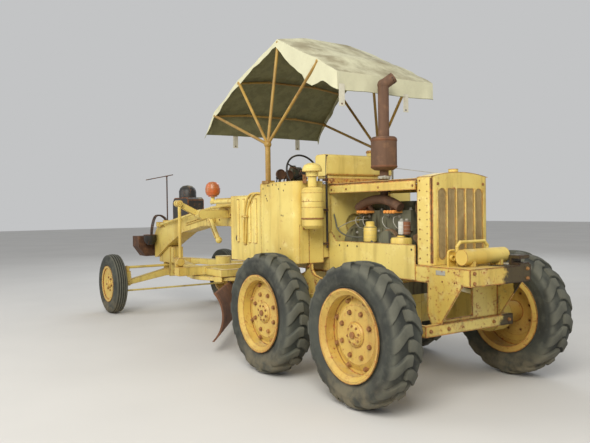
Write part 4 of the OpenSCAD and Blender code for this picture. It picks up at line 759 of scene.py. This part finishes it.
# Thin steel pipe and wire by the exhaust
# A light vertical pipe that stands on the hood with the stay wire that runs from it down to the radiator's
# corner, and a black pipe in clips up the bulkhead's left edge.
STAY = (0.149, -0.200)
mesh = bmesh.new()
rod(mesh, [(*STAY, 1.995), (*STAY, 2.162)], 0.011, 10)
rod(mesh, [(*STAY, 2.158), (-0.30, -0.235, 2.09), (-0.80, -0.275, 2.021)], 0.0028, 5)
turned(mesh, [(0, 0.006), (0.026, 0.006), (0.028, 0)], (*STAY, 1.994), UP, 16)
piece("stay_wire", mesh, pale_steel)
mesh = bmesh.new()
rod(mesh, [(0.475, 0.447, 1.30), (0.475, 0.449, 2.08), (0.462, 0.452, 2.30)], 0.012, 10)
for z in (1.34, 1.70, 2.02):
    slab(mesh, (0.462, 0.434, z), (0.501, 0.486, z + 0.022), 0.002)
piece("black_pipe", mesh, black_paint)

# Fuel tank trim
# The tank's rusted bottom lip over a bolted strip of sheet, and the round filler cap on top.
mesh = bmesh.new()
rod(mesh, [(0.458, -0.456, 2.094), (0.458, 0.456, 2.094)], 0.0065)
rod(mesh, [(0.460, -0.440, 2.040), (0.460, 0.440, 2.046)], 0.0075)
slab(mesh, (0.452, -0.438, 1.992), (0.468, 0.438, 2.045), 0.003)
for y in (-0.40, -0.14, 0.14, 0.40):
    bolt(mesh, (0.4515, y, 2.018), BACK, 0.018, 0.010, y)
turned(mesh, [(0.057, 2.350), (0.062, 2.352), (0.062, 2.366), (0.052, 2.378), (0, 2.382)],
       (0.555, -0.250, 0), UP, 28)
tank_lip = weathered_paint("tank_lip", chips=1.0, rust=0.9, grime=0.5, fresh=(196, 142, 70), edge=0.01)
piece("tank_trim", mesh, tank_lip)

# Canopy frame
# Two posts with four bent tubes each, in ochre paint, joined across by four bows under the cloth.
tube_paint = weathered_paint("tube_paint", chips=0.5, rust=0.35, grime=0.3, fresh=(172, 138, 62),
                             worn=(134, 102, 44), pale=(200, 168, 92))
dress(tube_paint, "canopy_frame")

# Beacon
# A round orange lamp on a yellow arm from the left front panel, its plastic dome dusty and dulled, its arm
# mottled with patches of painted shade.
beacon_plastic, shader, place = finish("beacon_plastic")
haze_and_shade_patches = place.noise(16, 4)
dome = haze_and_shade_patches.between(0.35, 0.7).over((190, 92, 34), (170, 108, 62))
# The arm mixes the sunlit yellow with patches of its shaded copy: painted shade.
arm = haze_and_shade_patches.between(0.45, 0.6).over(SUN_YELLOW, SHADE_YELLOW)
feed(shader, "Base Color", place.axis("Z").between(1.896, 1.900).over(arm, dome))
feed(shader, "Roughness", haze_and_shade_patches * 0.4 + 0.2)
shader.inputs["Coat Weight"].default_value = 0.3
dress(beacon_plastic, "beacon")

# Engine front and muffler bands
# The fan's six pressed blades behind the radiator, the stepped pulley of the water pump's drive, the round
# yellow housing of the injection pump, two fuel filters, and the rolled bands of muffler and air cleaner.
FAN_MIDDLE = Vector((-0.690, 0, FAN_Z))
BLADE = ((0.055, 0.030), (0.110, 0.050), (0.300, 0.062), (0.325, 0.045))
BLADE_HALF = 0.002
mesh = bmesh.new()
for k in range(6):
    around = Matrix.Rotation(math.radians(60 * k), 4, "X") @ Matrix.Rotation(math.radians(26), 4, "Z")
    loops = []
    for out, wide in BLADE:
        corners = [(-BLADE_HALF, -wide), (-BLADE_HALF, wide), (BLADE_HALF, wide), (BLADE_HALF, -wide)]
        loops.append([mesh.verts.new(FAN_MIDDLE + (around @ Vector((x, y, out)))) for x, y in corners])
    ring_of(mesh, loops)
    mesh.faces.new(loops[0][::-1])
    mesh.faces.new(loops[-1])
turned(mesh, [(0, 0), (0.080, 0.0), (0.086, 0.010), (0.086, 0.018), (0.070, 0.030), (0, 0.032)],
       (-0.672, 0, FAN_Z), BACK, 32)
turned(mesh, [(0.101, 0.0), (0.101, 0.040), (0.116, 0.044), (0.116, 0.054), (0.101, 0.060), (0.101, 0.064),
              (0.116, 0.070), (0.116, 0.080), (0.101, 0.086)], (-0.290, 0.1755, 1.400), LEFT, 48, True)
rod(mesh, [(-0.626, 0, FAN_Z), (-0.676, 0, FAN_Z)], 0.045, 20)
fan_steel = rusted_iron("fan_steel", (150, 120, 84), (58, 46, 36), (104, 82, 58))
piece("fan_and_pulley", mesh, fan_steel, smooth=False)
mesh = bmesh.new()
turned(mesh, [(0, 1.3615), (0.0995, 1.3615), (0.104, 1.366), (0.104, 1.420), (0.094, 1.436), (0.040, 1.443),
              (0.040, 1.455), (0, 1.456)], (-0.480, 0.266, 0), UP, 48)
piece("pump_housing", mesh, filter_paint)
tin_white = rusted_iron("tin_white", (222, 222, 214), (150, 140, 118), (198, 198, 190))
tin_rust = rusted_iron("tin_rust", (176, 112, 66), (84, 54, 38), (132, 82, 50))
for name, skin in (("bright_filter", tin_white), ("rusted_filter", tin_rust)):
    mesh = bmesh.new()
    turned(mesh, [(0, 1.4695), (0.0335, 1.4695), (0.0342, 1.474), (0.0342, 1.592), (0.028, 1.6005),
                  (0, 1.602)], (FILTERS_X[name], FILTERS_Y, 0), UP, 32)
    piece(name, mesh, skin)
mesh = bmesh.new()
for z in (2.144, 2.411):
    turned(mesh, [(0.1322, z - 0.012), (0.1372, z), (0.1322, z + 0.012)], (*STACK, 0), UP, 64)
piece("muffler_bands", mesh, bare_rust)
mesh = bmesh.new()
for z, out in ((1.741, 0.003), (1.801, 0.003), (1.890, 0.002)):
    turned(mesh, [(0.1132, z - 0.004), (0.1132 + out, z), (0.1132, z + 0.004)], (*CLEANER, 0), UP, 56)
piece("cleaner_bands", mesh, panel_paint)

# Grille mouldings
# Upright half-round mouldings between the radiator shell's slots, pressed from the same sheet.
mesh = bmesh.new()
for k in range(6):
    y = (k - 2.5) * 0.122
    slab(mesh, (-0.998, y - 0.007, 1.249), (-0.9895, y + 0.007, 1.896), 0.0035)
piece("grille_mouldings", mesh, panel_paint)

# Front fittings
# A black cover with a round cap on the arch, a bowl on a bracket behind the front box, hoses that bend over
# the steering gear, and the thin post with a slanted bar that shows the front wheels' place. A steel ring
# hangs at the lamp arm, and a blank plate is bolted to the rear frame.
COVER = [(4.720, 1.660), (5.000, 1.622), (5.360, 1.540), (5.360, 1.860), (5.300, 1.948), (4.780, 1.948),
         (4.720, 1.910)]
MARKER = (6.000, -0.020)


def plate(mesh, outline, low, high, edge=0.003):
    """An upright plate between two values of y, from its outline in x and z."""
    near, far = [[mesh.verts.new((x, y, z)) for x, z in outline] for y in (low, high)]
    sides = [mesh.faces.new(near), mesh.faces.new(far[::-1])]
    count = len(outline)
    for k in range(count):
        after = (k + 1) % count
        sides.append(mesh.faces.new((near[k], far[k], far[after], near[after])))
    bmesh.ops.recalc_face_normals(mesh, faces=sides)
    edges = {e for f in sides for e in f.edges}
    bmesh.ops.bevel(mesh, geom=list(edges), offset=edge, segments=2, affect="EDGES")


mesh = bmesh.new()
plate(mesh, COVER, -0.147, 0.147, 0.012)
turned(mesh, [(0, 1.940), (0.145, 1.940), (0.145, 2.058), (0.125, 2.108), (0.077, 2.148), (0, 2.160)],
       (5.050, 0, 0), UP, 48)
turned(mesh, [(0, 1.118), (0.052, 1.118), (0.088, 1.148), (0.110, 1.200), (0.116, 1.300), (0.108, 1.300),
              (0.098, 1.210), (0, 1.190)], (6.160, 0.260, 0), UP, 40)
slab(mesh, (6.190, 0.220, 1.130), (6.300, 0.300, 1.165), 0.003)
for shift in (0.0, 0.075):
    rod(mesh, arc([(6.10 + 0.6 * shift, 0.250, 1.225), (6.04 + shift, 0.246, 1.440),
                   (6.06 + shift, 0.180, 1.620), (6.08 + shift, 0.080, 1.648),
                   (6.06 + shift, 0.000, 1.600), (6.03 + shift, -0.030, 1.530)]), 0.014)
rod(mesh, [(*MARKER, 1.545), (*MARKER, 2.364)], 0.013)
rod(mesh, [(6.000, 0.376, 2.286), (6.000, -0.142, 2.390)], 0.008)
turned(mesh, [(0, -0.012), (0.020, -0.010), (0.020, 0.012), (0, 0.014)], (*MARKER, 2.360), UP, 12)
for y in (0.200, -0.200):
    turned(mesh, [(0, 0), (0.024, 0.001), (0.024, 0.012), (0, 0.013)], (6.22, y, 1.20), UP, 12)
piece("front_cover_and_hoses", mesh, black_paint)
mesh = bmesh.new()
round_wire = [(0.007 * math.cos(a), 0.007 * math.sin(a)) for a in (math.pi / 4 * k for k in range(8))]
turned(mesh, [(0.026 + out, up) for out, up in round_wire], (2.618, 0.758, 1.831), LEFT, 24, True)
slab(mesh, (-1.165, 0.4004, 1.130), (-1.056, 0.4035, 1.170), 0.001)
for x in (-1.158, -1.063):
    for z in (1.137, 1.163):
        bolt(mesh, (x, 0.403, z), LEFT, 0.008, 0.004, x)
piece("ring_and_blank_plate", mesh, pale_steel)

# Rear sockets
# Two tubular sockets on an upright plate under a small bent hoop, on top of the rear beam's left end.
mesh = bmesh.new()
slab(mesh, (-1.110, 0.172, 1.200), (-1.098, 0.302, 1.328), 0.002)
rod(mesh, arc([(-1.120, 0.316, 1.200), (-1.120, 0.316, 1.312), (-1.120, 0.300, 1.338),
               (-1.120, 0.268, 1.342), (-1.120, 0.236, 1.342)], 4), 0.009)
for y in (0.208, 0.268):
    turned(mesh, [(0.027, 0.0), (0.027, 0.033), (0.019, 0.033), (0.019, 0.012), (0, 0.012), (0, 0)],
           (-1.1095, y, 1.274), BACK, 24)
piece("rear_sockets", mesh, filter_paint)

# Case brackets
# Flared steel brackets that rise from the tandem cases to the cowls' rear walls, thick plate on edge with
# rusted bolts.
BRACKET_Y = 0.640
BRACKET = [(0.300, 0.797), (0.300, 1.000), (0.430, 1.032), (0.482, 1.074), (0.492, 1.1495), (0.560, 1.1495),
           (0.572, 1.070), (0.640, 1.038), (0.800, 1.010), (0.800, 0.797)]
mesh = bmesh.new()
for side in (1, -1):
    plate(mesh, BRACKET, side * BRACKET_Y - 0.020, side * BRACKET_Y + 0.020)
piece("case_brackets", mesh, scarred_paint, smooth=False)
mesh = bmesh.new()
for x, z in ((0.345, 0.860), (0.345, 0.945), (0.755, 0.860), (0.755, 0.945), (0.526, 1.115)):
    bolt_pair(mesh, (x, BRACKET_Y + 0.020, z), 0.034, 0.018, x)
piece("bracket_bolts", mesh, nut_rust)

# Centre-shift rack
# Eleven worn teeth along the lower side of the bar that shifts the drawbar, cut from the same steel.
RACK_TOP, RACK_LOW = Vector((3.800, 0.190, 1.600)), Vector((3.360, 0.280, 1.290))
mesh = bmesh.new()
run = (RACK_LOW - RACK_TOP).normalized()
proud = Vector((0.58, 0.0, -0.81)) * 0.030
tooth = run.to_track_quat("X", "Z").to_matrix().to_4x4() @ Matrix.Diagonal((0.022, 0.056, 0.034, 1.0))
for k in range(11):
    middle = RACK_TOP + (RACK_LOW - RACK_TOP) * (0.08 + 0.072 * k) + proud
    bmesh.ops.create_cube(mesh, size=1.0, matrix=Matrix.Translation(middle) @ tooth)
piece("shift_rack", mesh, frame_paint, smooth=False)

# Arch pipes
# Two thin yellow pipes that run along the left side of the arch under small clips, towards the front box, and
# two hook-shaped pipe ends in front of the left panel.
mesh = bmesh.new()
for shift in (0.0, 0.034):
    rod(mesh, arc([(x, 0.146, z - shift) for x, z in
                   ((2.02, 1.700), (2.90, 1.700), (3.60, 1.690), (4.20, 1.610), (4.80, 1.520))]), 0.0075, 6)
    rod(mesh, arc([(x, y, z - 2 * shift) for x, y, z in
                   ((2.020, 0.560, 1.760), (2.300, 0.520, 1.790), (2.440, 0.470, 1.760),
                    (2.460, 0.450, 1.690), (2.390, 0.440, 1.655))]), 0.014)
for x in (2.30, 2.85, 3.55):
    slab(mesh, (x, 0.136, 1.640), (x + 0.022, 0.158, 1.715), 0.002)
piece("arch_pipes", mesh, pipe_paint)

# Gauges and knobs
# Two brown round lamp bodies on rods and a dusty green bag-like instrument box above the console, and round
# rubber knobs on the levers. Faces are bare.
brown_glass = rusted_iron("brown_glass", (120, 84, 56), (62, 44, 32), (92, 64, 44))
mesh = bmesh.new()
for y, z, r in ((0.228, 2.162, 0.065), (0.108, 2.158, 0.060)):
    turned(mesh, [(0, 0.003), (r * 0.84, 0.003), (r * 0.88, 0.012), (r, 0.012), (r * 1.02, 0.0),
                  (r * 0.98, -0.020), (r * 0.62, -0.058), (0, -0.066)], (1.728, y, z), (-1, 0, 0.05), 36)
    rod(mesh, [(1.775, y, z - 0.01), (1.800, y * 0.9, 1.874)], 0.009)
piece("round_lamps", mesh, brown_glass)
mesh = bmesh.new()
for side in (1, -1):
    for k in range(4):
        knob = Matrix.Translation((1.743, side * (0.110 + 0.054 * k), 2.118))
        bmesh.ops.create_uvsphere(mesh, u_segments=16, v_segments=10, radius=0.0185, matrix=knob)
piece("lever_knobs", mesh, black_rubber)
green_box = weathered_paint("green_box", chips=0.4, rust=0.2, grime=0.7, fresh=(58, 62, 44),
                            worn=(40, 42, 32), pale=(86, 86, 64))
mesh = bmesh.new()
slab(mesh, (1.742, -0.124, 2.080), (1.822, 0.064, 2.262), 0.022)
slab(mesh, (1.752, -0.030, 2.240), (1.812, 0.050, 2.282), 0.014)
rod(mesh, [(1.790, -0.03, 2.09), (1.800, -0.03, 1.874)], 0.014)
piece("instrument_box", mesh, green_box)

# Canopy cloth
# One strip of cream canvas stretched over the four bows. It drops behind to a hem and in front past the last
# bow, and its sides hang as a low valance, deeper towards the rear corners. The top is stained brown where
# water stands, and the stains are darkened to carry painted shade as well. Darker creases on the top and the
# olive underside are painted shade. White straps with an eyelet hang from both hems.
CANVAS_CREAM = (204, 202, 172)
CANVAS_STAIN_AND_SHADE = (142, 133, 106)
CANVAS_UNDER_SHADE = (124, 122, 86)
CANVAS_FOLD_SHADE = (110, 108, 76)
canvas, shader, place = finish("canvas")
facing = place.node("ShaderNodeNewGeometry", out="Normal")
clouds = place.noise(2.6, 6, 0.62)
fine = place.noise(26, 4)
creases = place.noise(9.0, 3, 0.7)
flat_top = facing.axis("Z").between(0.45, 0.85)
underside_shade = (facing.axis("Z") * -1.0).between(0.02, 0.30)
# Brown stains on the upward faces, darkened so that they carry painted shade as well.
colour = (clouds.between(0.32, 0.70) * (flat_top * 0.90 + 0.08)).over(CANVAS_CREAM, CANVAS_STAIN_AND_SHADE)
colour = (fine.between(0.5, 0.8) * 0.12).over(colour, CANVAS_STAIN_AND_SHADE)
# Darker noise creases, mostly on the top: painted crease shade.
colour = (creases.between(0.54, 0.66) * (flat_top * 0.22 + 0.03)).over(colour, CANVAS_FOLD_SHADE)
# Faces that point down are painted olive as shade, varied between two shade tones.
colour = underside_shade.over(colour, creases.between(0.40, 0.62).over(CANVAS_UNDER_SHADE, CANVAS_FOLD_SHADE))
coat(shader, colour, fine * 0.1 + 0.82, fine * 0.6 + creases * 0.8, 0.0012)

# Stations of the cloth over bows and hems: x, half the width, height, crown. FLAP is the lower edge.
SPANS = [(-0.008, 0.662, 3.082, 0.0), (0.320, 0.672, 3.274, 0.050), (1.040, 0.692, 3.626, 0.060),
         (1.790, 0.784, 3.291, 0.050), (2.280, 0.866, 2.962, 0.040), (2.480, 0.885, 2.700, 0.006)]
FLAP = [(-0.008, 2.905), (0.220, 3.030), (0.440, 3.000), (0.550, 3.140), (0.800, 3.300), (1.000, 3.500),
        (1.060, 3.560), (1.790, 3.225), (2.280, 2.895), (2.480, 2.655)]
CELLS, ACROSS, DROP = 9, 15, 7
REAR_TOP, REAR_LOW = 3.085, 2.905
CLOTH = 0.003


def lowest(x):
    """Height of the side's lower edge at x."""
    for (a, low), (b, high) in zip(FLAP, FLAP[1:]):
        if x <= b:
            return low + (high - low) * max(0.0, (x - a) / (b - a))
    return FLAP[-1][1]


mesh = bmesh.new()
grid = {}
rows = 0
for (xa, ya, za, ra), (xb, yb, zb, rb) in zip(SPANS, SPANS[1:]):
    for k in range(CELLS + (xb == SPANS[-1][0])):
        t = k / CELLS
        slack = math.sin(math.pi * t)
        for j in range(-ACROSS, ACROSS + 1):
            v = math.sin(math.pi / 2 * j / ACROSS)
            x, y = xa + (xb - xa) * t, (ya + (yb - ya) * t) * v
            crown = (ra + (rb - ra) * t) * min(1.0, (1 - abs(v)) / 0.55)
            ripple = noise.noise(Vector((x * 7, y * 2.2, 3))) * 0.018
            ripple += noise.noise(Vector((x * 3 + y * 9, y * 4 - x * 5, 1))) * 0.014
            sag = -0.022 * slack * (1 - 0.4 * v * v) * (xb - xa)
            z = za + (zb - za) * t + crown + sag + (slack * 0.9 + 0.1) * ripple + CLOTH
            grid[rows, j] = mesh.verts.new((x, y, z))
        rows += 1
for s in range(1, DROP + 1):
    for j in range(-ACROSS, ACROSS + 1):
        v = math.sin(math.pi / 2 * j / ACROSS)
        wave = (0.009 * math.sin(9 * v + 0.8) + 0.006 * math.sin(23 * v)) * s / DROP
        z = REAR_TOP - (REAR_TOP - REAR_LOW) * s / DROP + 0.004 * math.sin(5 * v)
        grid["rear", s, j] = mesh.verts.new((SPANS[0][0] + wave * 0.9, SPANS[0][1] * v, z))
for side in (1, -1):
    for i in range(rows):
        top = grid[i, side * ACROSS].co
        for s in range(1, DROP + 1):
            t = s / DROP
            if i == 0:
                grid["side", side, i, s] = grid["rear", s, side * ACROSS]
                continue
            z = top.z + (lowest(top.x) - top.z) * t
            sway = (0.010 * math.sin(13 * top.x + side) + 0.007 * math.sin(31 * top.x)) * t
            grid["side", side, i, s] = mesh.verts.new((top.x, top.y + side * (0.004 * t + sway), z))


def strip(upper, lower):
    """Cells of the cloth between two rows of vertices, none where the rows meet."""
    for a, b, c, d in zip(upper, upper[1:], lower[1:], lower):
        if len({a, b, c, d}) == 4:
            mesh.faces.new((a, b, c, d))


across_cloth = range(-ACROSS, ACROSS + 1)
top_rows = [[grid[i, j] for j in across_cloth] for i in range(rows)]
rear_rows = top_rows[:1] + [[grid["rear", s, j] for j in across_cloth] for s in range(1, DROP + 1)]
side_rows = {}
for side in (1, -1):
    side_rows[side] = [[grid[i, side * ACROSS] for i in range(rows)]]
    side_rows[side] += [[grid["side", side, i, s] for i in range(rows)] for s in range(1, DROP + 1)]
for layers in (top_rows, rear_rows, side_rows[1], side_rows[-1]):
    for upper, lower in zip(layers, layers[1:]):
        strip(upper, lower)
hem = bmesh.new()
for edge in (rear_rows[-1], top_rows[-1], side_rows[1][-1], side_rows[-1][-1]):
    rod(hem, [vertex.co for vertex in edge], 0.0036, 6)
bmesh.ops.recalc_face_normals(mesh, faces=mesh.faces[:])
if sum(f.normal.z for f in mesh.faces) < 0:
    bmesh.ops.reverse_faces(mesh, faces=mesh.faces[:])
cut_area = sum(f.calc_area() for f in mesh.faces)
bmesh.ops.solidify(mesh, geom=mesh.faces[:], thickness=CLOTH)
cloth = piece("canopy_sheet", mesh, canvas, stands_for=["canopy_cloth"])
hems = piece("canopy_hems", hem, canvas)
strap_white = rusted_iron("strap_white", (228, 226, 212), (150, 140, 116), (204, 200, 182))
mesh = bmesh.new()
eyelets = bmesh.new()
for x, y, high, low in [(-0.016, 0.610, 2.960, 2.740), (-0.016, -0.250, 2.930, 2.740),
                        (2.497, 0.446, 2.730, 2.550), (2.497, -0.546, 2.730, 2.560)]:
    slab(mesh, (x - 0.0015, y - 0.036, low), (x + 0.0015, y + 0.036, high), 0.0005)
    for face in (1, -1):
        # Each eyelet hole is a dark disc of painted shade on either face of the strap.
        turned(eyelets, [(0, 0.0012), (0.009, 0.0012), (0.010, 0.0)], (x + face * 0.0015, y, low + 0.022),
               (face, 0, 0), 12)
straps = piece("canopy_straps", mesh, strap_white, smooth=False)
piece("strap_eyelets", eyelets, hole_shade_and_rust, smooth=False)

# Seat
# A black vinyl squab and back, foam inside, that swell between their piped edges and rest on the steel frame.
PAD_STRENGTH = 4
PAD_FRAMES = 20
PAD_CELL = 0.006
PAD_EDGE = 0.022
PAD_SWELL = 0.012
seat_vinyl, shader, place = finish("seat_vinyl")
wear = place.noise(7, 4)
colour = wear.between(0.45, 0.7).over((34, 32, 30), (74, 68, 58))
coat(shader, colour, wear * 0.3 + 0.42, place.noise(180, 3), 0.0008)


def stuffed(name, low, high):
    """A pad between two corners: a rounded block, remeshed and swollen a little by a cloth simulation."""
    mesh = bmesh.new()
    slab(mesh, *[(x + TANDEM_X, y, z) for x, y, z in (low, high)], PAD_EDGE)
    pad = piece(name, mesh, seat_vinyl, shift=0)
    cells = pad.modifiers.new("remesh", "REMESH")
    cells.mode = "VOXEL"
    cells.voxel_size = PAD_CELL
    bpy.context.view_layer.update()
    whole = bpy.data.meshes.new_from_object(pad.evaluated_get(bpy.context.evaluated_depsgraph_get()))
    pad.modifiers.clear()
    pad.data = whole
    rest = [v.co.copy() for v in whole.vertices]
    blown = pad.modifiers.new("blown", "CLOTH")
    blown.settings.use_pressure = True
    blown.settings.uniform_pressure_force = PAD_STRENGTH
    blown.settings.effector_weights.gravity = 0
    for moment in range(1, PAD_FRAMES + 1):
        bpy.context.scene.frame_set(moment)
    after = pad.evaluated_get(bpy.context.evaluated_depsgraph_get()).data
    moved = [after.vertices[k].co - rest[k] for k in range(len(rest))]
    pad.modifiers.clear()
    bpy.context.scene.frame_set(1)
    for vertex, start_at, move in zip(whole.vertices, rest, moved):
        vertex.co = start_at + move * min(1.0, PAD_SWELL / max(move.length, 1e-9))
    whole.shade_smooth()
    return pad


squab = stuffed("seat_squab", (0.830, -0.212, 1.662), (1.205, 0.212, 1.735))
stuffed("seat_back", (0.792, -0.212, 1.762), (0.852, 0.212, 2.020))
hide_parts("seat_cushion")
mesh = bmesh.new()
for ring in ([(0.827, 0.213, 1.724), (1.208, 0.213, 1.724), (1.208, -0.213, 1.724), (0.827, -0.213, 1.724)],
             [(0.848, 0.213, 1.764), (0.848, 0.213, 2.021), (0.848, -0.213, 2.021), (0.848, -0.213, 1.764)]):
    rod(mesh, ring + ring[:1], 0.0055)
piece("seat_piping", mesh, seat_vinyl)
